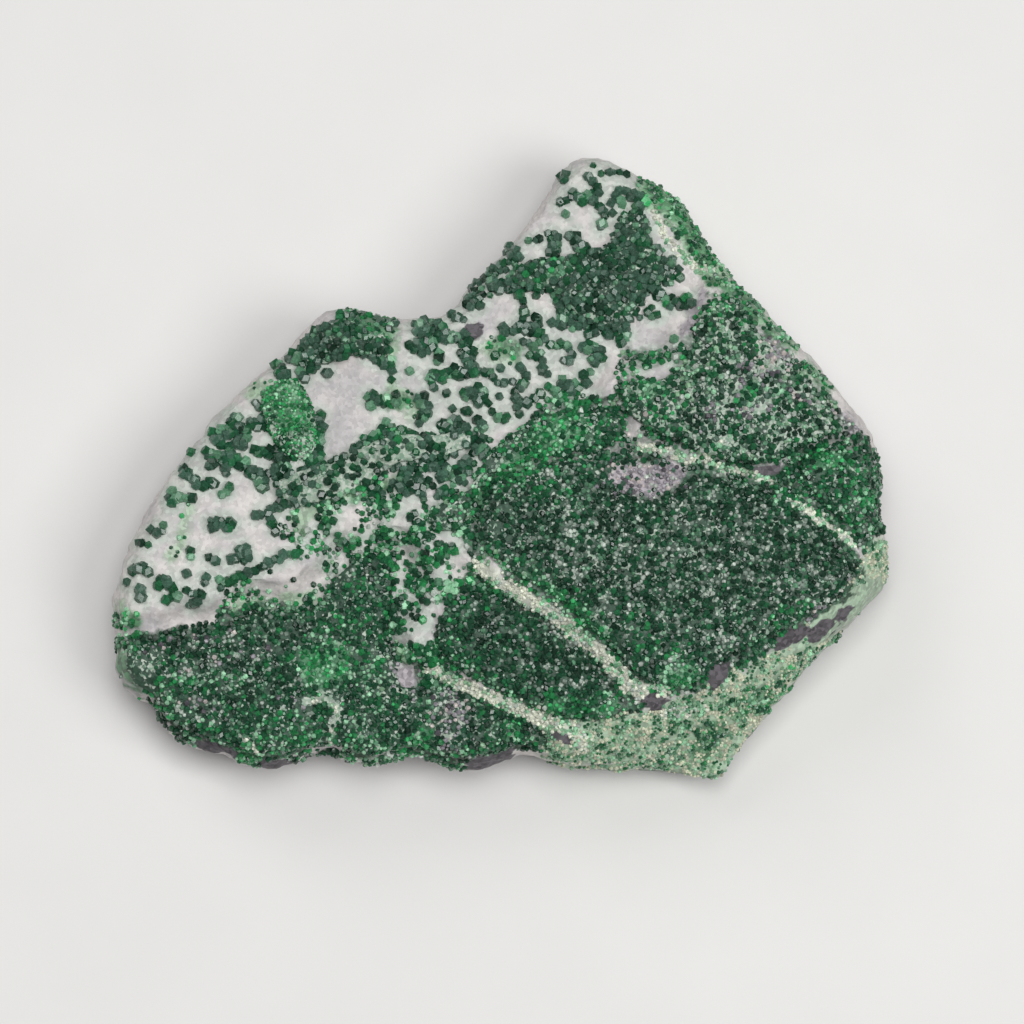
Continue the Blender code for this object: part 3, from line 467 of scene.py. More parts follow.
# How garnets and grains stand on a surface: their spacing and their radii in millimetres, the share of
# the surface that they cover, how much of the ground between them is dark green, and their palette
GROWTHS = {
    "panel": Growth(0.39, 0.24, 0.44, 0.96, 0.80, "dark"),
    "close_panel": Growth(0.39, 0.24, 0.44, 0.98, 0.95, "sombre"),
    "slope": Growth(0.43, 0.26, 0.48, 0.90, 0.55, "open"),
    "lower_field": Growth(0.40, 0.24, 0.44, 0.94, 0.80, "mid"),
    "mixed": Growth(0.44, 0.28, 0.50, 0.84, 0.20, "mixed"),
    "bright_strip": Growth(0.44, 0.26, 0.48, 0.92, 0.70, "bright"),
    "clumps": Growth(0.56, 0.44, 0.66, 0.80, 0.20, "grey"),
    "lace": Growth(0.54, 0.42, 0.64, 0.66, 0.05, "grey"),
    "coarse_patch": Growth(0.54, 0.42, 0.62, 0.92, 0.75, "grey"),
    "pocket": Growth(0.34, 0.20, 0.34, 0.95, 0.50, "emerald"),
    "ledge": Growth(0.34, 0.20, 0.34, 0.98, 0.0, "cream"),
    "flank": Growth(0.30, 0.16, 0.28, 0.86, 0.0, "flank"),
    "rim": Growth(0.42, 0.20, 0.36, 0.40, 0.0, "rim"),
    "tuft": Growth(0.42, 0.22, 0.40, 0.45, 0.0, "bright"),
}
# Garnets with more than this mean tint have their radius cut to this share
PALE_LEVEL = 0.13
PALE_SIZE = 0.78
# So have those of a chain that runs through a field whose largest radius is under this
CROWDED_SIZE = 0.75
CROWD_LARGEST = 0.55

# How garnets spread: places tried for each that could be kept, how far their edges stray in photo pixels,
# the share of those in a bare window that stay, the size of gaps, how much small ones outnumber large
# ones, how far out they stand in radii, and how far over one a crust has to lie for it to be left out
TRIES = 7
EDGE_JITTER = 2.0
STRAY_SHARE = 0.04
GAP_SIZE = 0.8 * MM
SMALL_BIAS = 1.4
GARNET_LIFT = 0.15
COVER_MARGIN = 0.3 * MM

# How far up a face must point for garnets or grains to grow there, and how high it must lie
CRUST_FACING = -0.25
FIELD_FACING = 0.1
FIELD_HEIGHT = 3 * MM
GRAIN_FACING = 0.2
GRAIN_HEIGHT = 2.5 * MM

# Garnets along a chain: in photo pixels their spacing, how far they stray, the half width from which they
# stand in two rows and the one under which they are smaller; then their sizes, and their lift in radii
CHAIN_STEP = 5.6
CHAIN_JITTER = 1.1
TWO_ROWS_FROM = 4.6
THIN_UNDER = 3.3
THIN_SIZE = 0.85
CHAIN_SIZES = (0.74, 1.12)
CHAIN_LIFT = 0.25

# How tints vary: the sizes of clumps and of wider drifts, the drifts' strength, how far a garnet departs
# from its clump and from its shade, and a patch's uneven edge in photo pixels and its strength
TINT_CLUMP = 0.9 * MM
TINT_DRIFT = 4.5 * MM
DRIFT_STRENGTH = 0.35
CLUMP_SCATTER = 0.30
SHADE_SCATTER = 0.16
PATCH_JITTER = 4.0
PATCH_STRENGTH = 0.9

# The floor's width and its gap under the specimen in metres, the sky's strength, and each light: its
# name, place, width and power
FLOOR_WIDTH = 6
FLOOR_GAP = 0.0002
SKY_STRENGTH = 0.14
LIGHTS = [
    ("key", (0.02, 0.02, 0.95), 0.45, 4.2),
    ("fill", (0.45, -0.20, 0.70), 0.40, 3.0),
    ("rim", (-0.35, 0.45, 0.55), 0.40, 1.2),
]

# Each crust: its slot in the record and how its garnets grow
CRUSTS = {
    "crust_large_panel": ("dark_garnet", "panel"),
    "crust_small_panel": ("dark_garnet", "close_panel"),
    "crust_right_lobe": ("garnet", "lower_field"),
    "crust_upper_right": ("garnet", "slope"),
    "crust_lower_left": ("garnet", "lower_field"),
    "crust_middle": ("bright_garnet", "bright_strip"),
    "crust_top": ("dark_garnet", "coarse_patch"),
    "crust_crest": ("garnet", "coarse_patch"),
    "crust_pocket": ("bright_garnet", "pocket"),
    "crust_band": ("garnet", "lace"),
}


def linear(*levels):
    """A colour for a shader from its usual 0 to 255 levels."""
    shares = [level / 255 for level in levels]
    return tuple(s / 12.92 if s <= 0.04045 else ((s + 0.055) / 1.055) ** 2.4 for s in shares)


# Colours of garnets and pale grains
SHADES = {
    "black_green": linear(22, 54, 38),
    "deep": linear(28, 74, 50),
    "bottle": linear(32, 92, 58),
    "slate_green": linear(62, 94, 78),
    "leaf": linear(36, 120, 68),
    "emerald": linear(60, 166, 98),
    "moss": linear(90, 136, 106),
    "ash": linear(130, 146, 134),
    "sage": linear(128, 166, 132),
    "mint": linear(146, 198, 160),
    "pale": linear(176, 186, 176),
    "straw": linear(196, 198, 174),
    "cream": linear(212, 215, 198),
    "rose": linear(196, 186, 182),
    "lilac": linear(142, 138, 144),
    "plum": linear(84, 81, 87),
}
# The pale, dark and bright grains of a crust's bed, each from its darkest to its palest
BED_SHADES = (
    (linear(120, 154, 130), linear(196, 204, 192)),
    (linear(24, 56, 40), linear(54, 90, 68)),
    (linear(34, 96, 58), linear(84, 158, 108)),
)
# The share of each shade in a palette
PALETTES = {
    "dark": {"black_green": 0.30, "deep": 0.30, "bottle": 0.09, "moss": 0.10, "ash": 0.15, "pale": 0.06},
    "sombre": {"black_green": 0.34, "deep": 0.33, "bottle": 0.12, "moss": 0.09, "ash": 0.10, "pale": 0.02},
    "mid": {"black_green": 0.22, "deep": 0.30, "bottle": 0.20, "leaf": 0.08, "moss": 0.09, "ash": 0.06,
            "mint": 0.05},
    "open": {"black_green": 0.18, "deep": 0.26, "bottle": 0.18, "leaf": 0.04, "moss": 0.14, "sage": 0.08,
             "mint": 0.06, "pale": 0.06},
    "mixed": {"black_green": 0.07, "deep": 0.20, "bottle": 0.22, "leaf": 0.17, "emerald": 0.04,
              "moss": 0.10, "mint": 0.14, "pale": 0.06},
    "leafy": {"deep": 0.26, "bottle": 0.28, "leaf": 0.24, "emerald": 0.05, "moss": 0.08, "mint": 0.09},
    "minty": {"bottle": 0.14, "leaf": 0.16, "moss": 0.18, "sage": 0.12, "mint": 0.28, "pale": 0.12},
    # Greys and lilacs, partly grey garnets and partly a painted sheen on the lower left
    "ashen_and_sheen": {"deep": 0.22, "slate_green": 0.14, "plum": 0.12, "lilac": 0.24, "rose": 0.12, "pale": 0.16},
    "lilac": {"slate_green": 0.08, "plum": 0.08, "lilac": 0.54, "rose": 0.15, "pale": 0.15},
    "bright": {"deep": 0.24, "bottle": 0.26, "leaf": 0.22, "emerald": 0.08, "moss": 0.08, "mint": 0.12},
    "emerald": {"deep": 0.05, "bottle": 0.10, "leaf": 0.28, "emerald": 0.33, "mint": 0.24},
    "grey": {"black_green": 0.06, "deep": 0.22, "slate_green": 0.44, "bottle": 0.13, "moss": 0.15},
    "cream": {"leaf": 0.02, "moss": 0.05, "sage": 0.13, "mint": 0.24, "pale": 0.10, "cream": 0.46},
    "flank": {"bottle": 0.14, "leaf": 0.06, "moss": 0.15, "sage": 0.20, "mint": 0.08, "straw": 0.37},
    "rim": {"bottle": 0.28, "leaf": 0.32, "moss": 0.20, "sage": 0.12, "mint": 0.08},
}
# Palette, how soft its bands' edges are in pixels, and how much of the garnets there it takes
TINTED_BANDS = [
    ("leafy", 24, 0.80, LEAFY_BANDS),
    ("sombre", 16, 0.70, SOMBRE_BANDS),
    ("minty", 10, 0.65, MINTY_BANDS),
    # The grey and lilac tints here carry the painted sheen on the lower left
    ("ashen_and_sheen", 8, 0.75, ASHEN_AND_SHEEN_BANDS),
    ("cream", 4, 0.95, CREAM_LEDGES),
]
TINTED_PATCHES = [("emerald", BRIGHT_PATCHES), ("lilac", LAVENDER_PATCHES)]


class UvaroviteSizes(bpy.types.PropertyGroup):
    """The sizes a user would change."""

    rock_grid: FloatProperty(
        name="Rock grid", description="Spacing of the points on the rock's surface",
        default=0.40 * MM, subtype="DISTANCE", unit="LENGTH", precision=5)
    crust_grid: FloatProperty(
        name="Crust grid", description="Spacing of the points on a crust's bed",
        default=0.30 * MM, subtype="DISTANCE", unit="LENGTH", precision=5)
    rock_relief: FloatProperty(
        name="Rock relief", description="How far broken rock stands in and out of its plain form",
        default=0.30 * MM, subtype="DISTANCE", unit="LENGTH", precision=5)
    crust_sink: FloatProperty(
        name="Crust sink", description="How far a crust's underside reaches into the rock",
        default=0.80 * MM, subtype="DISTANCE", unit="LENGTH", precision=5)
    single_size: FloatProperty(
        name="Single garnets", description="Radius of a garnet that stands alone",
        default=0.68 * MM, subtype="DISTANCE", unit="LENGTH", precision=5)
    seed: IntProperty(name="Seed", description="Starts every random choice", default=11, min=0)


class UvaroviteColours(bpy.types.PropertyGroup):
    """The colours a user would change."""

    bare_rock: FloatVectorProperty(
        name="Bare rock", description="Pale rock between the garnets",
        default=linear(216, 211, 208), subtype="COLOR", min=0, max=1)
    rock_shade: FloatVectorProperty(
        name="Rock shade", description="Greyer patches of the bare rock",
        default=linear(194, 190, 191), subtype="COLOR", min=0, max=1)
    halo: FloatVectorProperty(
        name="Halo", description="Pale green tinge of the rock round its garnets",
        default=linear(188, 199, 188), subtype="COLOR", min=0, max=1)
    ground_green: FloatVectorProperty(
        name="Green ground", description="Fine green growth between the garnets of a field",
        default=linear(40, 78, 56), subtype="COLOR", min=0, max=1)
    cream: FloatVectorProperty(
        name="Cream", description="The ledges between the sheets",
        default=linear(214, 217, 204), subtype="COLOR", min=0, max=1)
    mint: FloatVectorProperty(
        name="Mint", description="Fine pale green coating of the flank",
        default=linear(162, 188, 160), subtype="COLOR", min=0, max=1)
    green_stain: FloatVectorProperty(
        name="Green stain", description="Green rock round the brighter garnets",
        default=linear(58, 122, 78), subtype="COLOR", min=0, max=1)
    chromite: FloatVectorProperty(
        name="Chromite", description="Dark ore that shows in spots and on the sides",
        default=linear(88, 84, 89), subtype="COLOR", min=0, max=1)
    lavender: FloatVectorProperty(
        name="Lavender", description="Greyish purple patches of chlorite",
        default=linear(160, 153, 159), subtype="COLOR", min=0, max=1)
    floor: FloatVectorProperty(
        name="Floor", description="The studio's floor",
        default=linear(232, 231, 229), subtype="COLOR", min=0, max=1)


def sizes():
    return bpy.context.scene.uvarovite_sizes


def colours():
    return bpy.context.scene.uvarovite_colours


# Measuring


def camera_axes():
    """The camera's place and its turn."""
    turn = Euler((CAMERA_TILT, 0, 0)).to_matrix()
    return Vector(CAMERA_AIM) + turn @ Vector((0, 0, CAMERA_DISTANCE)), turn


def photo_pixels(points):
    """Where points of the specimen stand in the photograph's frame."""
    place, turn = camera_axes()
    seen = (np.asarray(points) - np.array(place)) @ np.array(turn)
    half = PHOTO_WIDTH / 2
    across = half + FOCAL_PIXELS * seen[:, 0] / -seen[:, 2]
    down = half - FOCAL_PIXELS * seen[:, 1] / -seen[:, 2]
    return np.column_stack([across, down])


def sight_line(pixel):
    """The camera's place, and the direction in which it sees a pixel."""
    place, turn = camera_axes()
    half = PHOTO_WIDTH / 2
    direction = Vector(((pixel[0] - half) / FOCAL_PIXELS, (half - pixel[1]) / FOCAL_PIXELS, -1))
    return place, (turn @ direction).normalized()


def inside(points, outline):
    """Which points lie in a closed outline, by counting crossings."""
    start = np.array(outline, float)
    end = np.roll(start, -1, axis=0)
    x, y = points[:, 0, None], points[:, 1, None]
    crosses = (start[:, 1] > y) != (end[:, 1] > y)
    rise = np.where(end[:, 1] == start[:, 1], 1e-9, end[:, 1] - start[:, 1])
    at = start[:, 0] + (y - start[:, 1]) * (end[:, 0] - start[:, 0]) / rise
    return (crosses & (x < at)).sum(axis=1) % 2 == 1


def in_any(points, outlines):
    """Which points lie in one or more of the outlines."""
    found = np.zeros(len(points), bool)
    for outline in outlines:
        found |= inside(points, outline)
    return found


def distance_to_line(points, line):
    """How far points lie from an open line."""
    line = np.array(line, float)
    if len(line) == 1:
        return np.linalg.norm(points - line[0], axis=1)
    start, span = line[:-1], np.diff(line, axis=0)
    offset = points[:, None] - start
    share = np.clip((offset * span).sum(2) / (span * span).sum(1), 0, 1)
    return np.linalg.norm(offset - share[..., None] * span, axis=2).min(axis=1)


def band_mask(pixels, bands, softness):
    """1 on the bands, falling to 0 over the softness across their edges, in photo pixels."""
    mask = np.zeros(len(pixels))
    for half_width, line in bands:
        away = distance_to_line(pixels, line) - half_width
        mask = np.maximum(mask, np.clip(0.5 - away / softness, 0, 1))
    return mask


def outline_mask(pixels, outlines, softness):
    """1 in the outlines, falling to 0 over the softness across their edges, in photo pixels."""
    mask = np.zeros(len(pixels))
    for outline in outlines:
        away = distance_to_line(pixels, [*outline, outline[0]])
        away = np.where(inside(pixels, outline), -away, away)
        mask = np.maximum(mask, np.clip(0.5 - away / softness, 0, 1))
    return mask


def roughness_field(points, size, seed):
    """Smooth noise, about -1 to 1, with features of the given size in metres."""
    shift = Vector((seed, 2 * seed, 3 * seed))
    return np.array([noise.noise(Vector(point) / size + shift) for point in points])


# Meshes


def deselect_all():
    for obj in bpy.context.view_layer.objects:
        obj.select_set(False)


def make_active(obj):
    deselect_all()
    obj.select_set(True)
    bpy.context.view_layer.objects.active = obj


def frame_copy(node, name):
    """A copy of a frame solid with its doubles merged."""
    obj = bpy.data.objects.new(name, frame["nodes"][node].data.copy())
    bpy.context.scene.collection.objects.link(obj)
    obj.data.materials.clear()
    make_active(obj)
    bpy.ops.object.mode_set(mode="EDIT")
    bpy.ops.mesh.select_all(action="SELECT")
    bpy.ops.mesh.remove_doubles(threshold=0.001 * MM)
    bpy.ops.object.mode_set(mode="OBJECT")
    return obj


def apply_modifier(obj, kind, **values):
    """Adds a modifier with these values and applies it."""
    modifier = obj.modifiers.new(kind.lower(), kind)
    for key, value in values.items():
        setattr(modifier, key, value)
    make_active(obj)
    bpy.ops.object.modifier_apply(modifier=modifier.name)


def vertex_places(obj):
    places = np.zeros(len(obj.data.vertices) * 3)
    obj.data.vertices.foreach_get("co", places)
    return places.reshape(-1, 3)


def vertex_normals(obj):
    normals = np.zeros(len(obj.data.vertices) * 3, np.float32)
    obj.data.vertex_normals.foreach_get("vector", normals)
    return normals.reshape(-1, 3)


def set_places(obj, places):
    obj.data.vertices.foreach_set("co", places.ravel())
    obj.data.update()


def store_mask(obj, name, values):
    layer = obj.data.attributes.new(name, "FLOAT", "POINT")
    layer.data.foreach_set("value", np.asarray(values, np.float32))


def store_tint(obj, colour_rows):
    layer = obj.data.attributes.new("tint", "FLOAT_COLOR", "POINT")
    rows = np.column_stack([colour_rows, np.ones(len(colour_rows))]).astype(np.float32)
    layer.data.foreach_set("color", rows.ravel())


def shade_smooth(obj, angle):
    make_active(obj)
    bpy.ops.object.shade_smooth_by_angle(angle=math.radians(angle))


def surface_tree(objects):
    """A search tree over the faces of several objects."""
    places, faces, first = [], [], 0
    for obj in objects:
        points = vertex_places(obj)
        places += [Vector(point) for point in points]
        faces += [[first + i for i in polygon.vertices] for polygon in obj.data.polygons]
        first += len(points)
    return BVHTree.FromPolygons(places, faces)


def lies_under(tree, places):
    """Which places have a surface of the tree straight above them."""
    up = Vector((0, 0, 1))
    start = Vector((0, 0, COVER_MARGIN))
    return np.array([tree.ray_cast(Vector(place) + start, up)[0] is not None for place in places], bool)


def piece_name(node):
    """The name of a crust's finished piece."""
    return node.replace("crust_", "garnets_")


def crust_tree():
    """A search tree over the finished crusts."""
    return surface_tree([bpy.data.objects[piece_name(node)] for node in CRUSTS])


def triangles_of(obj):
    """Corner places and unit normals of an object's triangles, with their areas."""
    mesh = obj.data
    mesh.calc_loop_triangles()
    index = np.zeros(len(mesh.loop_triangles) * 3, np.int32)
    mesh.loop_triangles.foreach_get("vertices", index)
    corners = vertex_places(obj)[index.reshape(-1, 3)]
    cross = np.cross(corners[:, 1] - corners[:, 0], corners[:, 2] - corners[:, 0])
    length = np.linalg.norm(cross, axis=1)
    return corners, cross / np.maximum(length, 1e-15)[:, None], length / 2


def scatter(obj, spacing, chance, allowed):
    """Places and normals on an object's surface, about evenly spaced, where allowed says so.

    allowed gets places and normals and returns which of them may be used.
    """
    corners, normals, areas = triangles_of(obj)
    usable = areas * allowed(corners.mean(axis=1), normals)
    count = int(usable.sum() / spacing**2 * TRIES)
    picked = chance.choice(len(areas), size=count, p=usable / usable.sum())
    shares = chance.random((count, 2))
    over = shares.sum(axis=1) > 1
    shares[over] = 1 - shares[over]
    base = corners[picked]
    tried = (base[:, 0] + shares[:, :1] * (base[:, 1] - base[:, 0])
             + shares[:, 1:] * (base[:, 2] - base[:, 0]))
    cells, kept = {}, []
    keys = np.floor(tried / spacing).astype(int)
    near = [(i, j, k) for i in (-1, 0, 1) for j in (-1, 0, 1) for k in (-1, 0, 1)]
    for number, (key, point) in enumerate(zip(map(tuple, keys), tried.tolist())):
        crowded = False
        for i, j, k in near:
            for other in cells.get((key[0] + i, key[1] + j, key[2] + k), ()):
                gap = sum((a - b) ** 2 for a, b in zip(point, other))
                if gap < spacing * spacing:
                    crowded = True
                    break
            if crowded:
                break
        if not crowded:
            cells.setdefault(key, []).append(point)
            kept.append(number)
    return tried[kept], normals[picked[kept]]


def random_turns(chance, count):
    """Turns that are equally likely to face any way."""
    q = chance.normal(size=(count, 4))
    q /= np.linalg.norm(q, axis=1)[:, None]
    w, x, y, z = q.T
    rows = [
        [1 - 2 * (y * y + z * z), 2 * (x * y - z * w), 2 * (x * z + y * w)],
        [2 * (x * y + z * w), 1 - 2 * (x * x + z * z), 2 * (y * z - x * w)],
        [2 * (x * z - y * w), 2 * (y * z + x * w), 1 - 2 * (x * x + y * y)],
    ]
    return np.moveaxis(np.array(rows), 2, 0)


def garnet_model():
    """One garnet: a cube whose sides are raised into low pyramids, which makes twelve rhombs."""
    deselect_all()
    bpy.ops.mesh.primitive_cube_add(size=1)
    obj = bpy.context.active_object
    bpy.ops.object.mode_set(mode="EDIT")
    bpy.ops.mesh.poke(offset=0.5)
    bpy.ops.mesh.select_all(action="SELECT")
    bpy.ops.mesh.dissolve_limited(angle_limit=math.radians(1))
    bpy.ops.object.mode_set(mode="OBJECT")
    shape = vertex_places(obj)
    faces = np.array([list(polygon.vertices) for polygon in obj.data.polygons])
    bpy.data.objects.remove(obj)
    return shape, faces


def grow(name, places, radii, tints, chance):
    """One mesh of many garnets, each with its own turn and tint."""
    shape, faces = garnet_model()
    turns = random_turns(chance, len(places))
    points = np.einsum("nij,vj->nvi", turns, shape) * radii[:, None, None] + places[:, None, :]
    first = np.arange(len(places))[:, None, None] * len(shape)
    corners = (faces[None] + first).reshape(-1, faces.shape[1])
    mesh = bpy.data.meshes.new(name)
    mesh.vertices.add(points.shape[0] * points.shape[1])
    mesh.vertices.foreach_set("co", points.ravel())
    mesh.loops.add(corners.size)
    mesh.loops.foreach_set("vertex_index", corners.ravel())
    mesh.polygons.add(len(corners))
    mesh.polygons.foreach_set("loop_start", np.arange(len(corners)) * faces.shape[1])
    mesh.update(calc_edges=True)
    mesh.validate()
    mesh.shade_flat()
    mesh.materials.append(glassy())
    obj = bpy.data.objects.new(name, mesh)
    bpy.context.scene.collection.objects.link(obj)
    store_tint(obj, np.repeat(tints, len(shape), axis=0))
    return obj


def pick_tints(palette, places, chance):
    """Colours from a palette, in small clumps of like shade, each a little off its name."""
    if not len(places):
        return np.zeros((0, 3))
    shares = np.array(list(PALETTES[palette].values()))
    shades = np.array([SHADES[name] for name in PALETTES[palette]])
    order = roughness_field(places, TINT_CLUMP, 21.0)
    order += DRIFT_STRENGTH * roughness_field(places, TINT_DRIFT, 33.0)
    order += chance.normal(0, CLUMP_SCATTER, len(places))
    rank = order.argsort().argsort() / len(places)
    picked = np.searchsorted(np.cumsum(shares) / shares.sum(), rank, side="right")
    return shades[picked] * np.exp(chance.normal(0, SHADE_SCATTER, (len(places), 1)))


def retint(tints, pixels, places, chance):
    """Gives the garnets on the tinted bands and patches the palettes that grow there."""
    for palette, softness, strength, bands in TINTED_BANDS:
        changed = chance.random(len(places)) < strength * band_mask(pixels, bands, softness)
        tints[changed] = pick_tints(palette, places[changed], chance)
    for palette, outlines in TINTED_PATCHES:
        changed = in_any(pixels + chance.normal(0, PATCH_JITTER, pixels.shape), outlines)
        changed &= chance.random(len(places)) < PATCH_STRENGTH
        tints[changed] = pick_tints(palette, places[changed], chance)


def plant(surface, growth, allowed, chance):
    """Centres, radii and tints of garnets that grow on a surface, where allowed says so."""
    places, normals = scatter(surface, growth.spacing * MM, chance, allowed)
    pixels = photo_pixels(places) + chance.normal(0, EDGE_JITTER, (len(places), 2))
    gaps = roughness_field(places, GAP_SIZE, 12.0)
    keep = gaps < np.quantile(gaps, growth.share)
    keep &= ~in_any(pixels, BARE_WINDOWS) | (chance.random(len(places)) < STRAY_SHARE)
    places, normals, pixels = places[keep], normals[keep], pixels[keep]
    reach = growth.largest - growth.smallest
    radii = (growth.smallest + reach * chance.random(len(places)) ** SMALL_BIAS) * MM
    tints = pick_tints(growth.palette, places, chance)
    if growth.ground > 0:
        retint(tints, pixels, places, chance)
        radii[tints.mean(axis=1) > PALE_LEVEL] *= PALE_SIZE
    return places + normals * (radii * GARNET_LIFT)[:, None], radii, tints


# Materials


class Nodes:
    """A material's node tree, written one node at a time."""

    def __init__(self, name):
        self.material = bpy.data.materials.new(name)
        self.material.use_nodes = True
        self.tree = self.material.node_tree
        self.shader = self.tree.nodes["Principled BSDF"]

    def add(self, kind, inputs=(), **values):
        """A node with its settings, and its inputs set or linked by name or number."""
        node = self.tree.nodes.new("ShaderNode" + kind)
        for key, value in values.items():
            setattr(node, key, value)
        for key, value in dict(inputs).items():
            self.put(node, key, value)
        return node

    def put(self, node, key, value):
        if isinstance(value, bpy.types.NodeSocket):
            self.tree.links.new(value, node.inputs[key])
        else:
            node.inputs[key].default_value = value

    def millimetres(self):
        """Object coordinates in millimetres."""
        place = self.add("TexCoord").outputs["Object"]
        return self.add("Mapping", {"Vector": place, "Scale": (1 / MM,) * 3}).outputs[0]

    def noise(self, where, scale, detail=3.0, roughness=0.55):
        kind = {"Vector": where, "Scale": scale, "Detail": detail, "Roughness": roughness}
        return self.add("TexNoise", kind).outputs["Fac"]

    def spread(self, value, low, high, to_low=0.0, to_high=1.0):
        """The value's stretch from low to high, as a stretch from to_low to to_high."""
        ends = {"Value": value, "From Min": low, "From Max": high, "To Min": to_low, "To Max": to_high}
        return self.add("MapRange", ends, clamp=True).outputs[0]

    def calculate(self, operation, a, b=0.0):
        return self.add("Math", {0: a, 1: b}, operation=operation).outputs[0]

    def blend(self, share, a, b, kind="MIX"):
        """Colour a turning into colour b as the share grows."""
        node = self.add("Mix", data_type="RGBA", blend_type=kind)
        self.put(node, 0, share)
        self.put(node, 6, a)
        self.put(node, 7, b)
        return node.outputs[2]

    def grey(self, level):
        return self.add("CombineColor", {0: level, 1: level, 2: level}).outputs[0]

    def channel(self, colour, number=0):
        return self.add("SeparateColor", {0: colour}).outputs[number]

    def attribute(self, name, output="Fac"):
        return self.add("Attribute", attribute_name=name).outputs[output]

    def bump(self, height, strength, distance):
        inputs = {"Height": height, "Strength": strength, "Distance": distance}
        self.put(self.shader, "Normal", self.add("Bump", inputs).outputs[0])


def opaque(colour):
    return (*colour, 1.0)


def rock_material():
    """Bare rock, with its ledges, coatings and ore spots painted where the masks say."""
    paint = Nodes("broken_rock")
    tone = colours()
    mm = paint.millimetres()
    wide = paint.noise(mm, 0.22, 2.0)
    middle = paint.noise(mm, 0.9, 4.0, 0.6)
    fine = paint.noise(mm, 3.2, 3.0, 0.6)
    grain = paint.add("TexVoronoi", {"Vector": mm, "Scale": 2.6}).outputs["Color"]
    grain_level = paint.channel(grain)
    colour = paint.blend(paint.spread(wide, 0.42, 0.62), opaque(tone.bare_rock), opaque(tone.rock_shade))
    # Each mark: its mask and colour, how far noise shifts its edge, where it starts and is full, how
    # strong it is, and how much lighter and darker its grains are
    marks = (
        ("side", tone.chromite, 1.1, 0.38, 0.62, 1.0, 0.25),
        ("halo", tone.halo, 0.6, 0.1, 0.9, 0.8, 0.04),
        ("lavender", tone.lavender, 1.2, 0.2, 0.8, 0.9, 0.25),
        ("mint", tone.mint, 1.4, 0.15, 0.85, 0.9, 0.15),
        ("ground", tone.ground_green, 1.4, 0.25, 0.8, 0.95, 0.5),
        ("stain", tone.green_stain, 1.8, 0.15, 0.9, 0.8, 0.4),
        ("cream", tone.cream, 0.8, 0.3, 0.7, 1.0, 0.06),
        ("chromite", tone.chromite, 0.9, 0.35, 0.65, 1.0, 0.35),
    )
    uneven = paint.calculate("SUBTRACT", paint.blend(0.4, middle, fine), 0.5)
    for mask, shade, wander, start, full, strength, mottle in marks:
        reach = paint.calculate("MULTIPLY", uneven, wander)
        share = paint.calculate("ADD", paint.attribute(mask), reach)
        share = paint.calculate("MULTIPLY", share, paint.spread(paint.attribute(mask), 0.0, 0.1))
        level = paint.spread(grain_level, 0.1, 0.9, 1 - mottle, 1 + mottle)
        shade = paint.blend(1.0, opaque(shade), paint.grey(level), "MULTIPLY")
        colour = paint.blend(paint.spread(share, start, full, 0.0, strength), colour, shade)
    flecks = paint.spread(fine, 0.34, 0.42, 0.55, 1.0)
    shade = paint.blend(flecks, opaque(tone.rock_shade), (1, 1, 1, 1))
    colour = paint.blend(0.35, colour, shade, "MULTIPLY")
    lift = paint.spread(grain_level, 0.0, 1.0, 0.86, 1.1)
    colour = paint.blend(1.0, colour, paint.grey(lift), "MULTIPLY")
    paint.put(paint.shader, "Base Color", colour)
    paint.put(paint.shader, "Roughness", paint.spread(fine, 0.3, 0.7, 0.55, 0.8))
    heights = paint.calculate("ADD", fine, paint.calculate("MULTIPLY", grain_level, 0.35))
    paint.bump(heights, 0.4, 0.12 * MM)
    return paint.material


def bed_material():
    """What shows between a crust's garnets: fine grains, dark green where it grew thick, else pale."""
    paint = Nodes("crust_bed")
    mm = paint.millimetres()
    grain = paint.add("TexVoronoi", {"Vector": mm, "Scale": 3.4}).outputs["Color"]
    level = paint.channel(grain)
    varied = paint.channel(grain, 1)
    pale, dark, bright = [paint.blend(varied, opaque(low), opaque(high)) for low, high in BED_SHADES]
    # Grain by grain dark or pale, with more dark ones where the ground is dark and in patches
    patches = paint.spread(paint.noise(mm, 0.9, 4.0), 0.3, 0.7, -0.25, 0.25)
    reach = paint.calculate("ADD", paint.attribute("ground"), patches)
    excess = paint.calculate("SUBTRACT", reach, level)
    colour = paint.blend(paint.spread(excess, -0.05, 0.05), pale, dark)
    colour = paint.blend(paint.attribute("green"), colour, bright)
    paint.put(paint.shader, "Base Color", colour)
    paint.put(paint.shader, "Roughness", paint.spread(level, 0.0, 1.0, 0.35, 0.65))
    paint.bump(paint.calculate("ADD", level, paint.noise(mm, 6.0)), 0.6, 0.12 * MM)
    return paint.material


def garnet_material():
    """Glassy garnet, each crystal in its own tint, with faint growth marks on its faces.

    Pale tints are grains of other minerals, which are less glassy.
    """
    paint = Nodes("glassy_garnet")
    mm = paint.millimetres()
    tint = paint.attribute("tint", "Color")
    mottle = paint.noise(mm, 4.0, 3.0)
    lift = paint.spread(mottle, 0.3, 0.7, 0.72, 1.25)
    paint.put(paint.shader, "Base Color", paint.blend(1.0, tint, paint.grey(lift), "MULTIPLY"))
    dull = paint.calculate("ADD", mottle, paint.channel(tint))
    paint.put(paint.shader, "Roughness", paint.spread(dull, 0.35, 1.0, 0.12, 0.50))
    paint.shader.inputs["IOR"].default_value = 1.6
    paint.bump(paint.noise(mm, 9.0, 2.0), 0.25, 0.03 * MM)
    return paint.material


def floor_material():
    """Matt card with a faint tooth."""
    paint = Nodes("studio_floor")
    mm = paint.millimetres()
    tone = paint.spread(paint.noise(mm, 0.05, 4.0), 0.3, 0.7, 0.97, 1.0)
    colour = paint.blend(1.0, opaque(colours().floor), paint.grey(tone), "MULTIPLY")
    paint.put(paint.shader, "Base Color", colour)
    paint.shader.inputs["Roughness"].default_value = 0.85
    paint.bump(paint.noise(mm, 2.0, 4.0), 0.1, 0.1 * MM)
    return paint.material


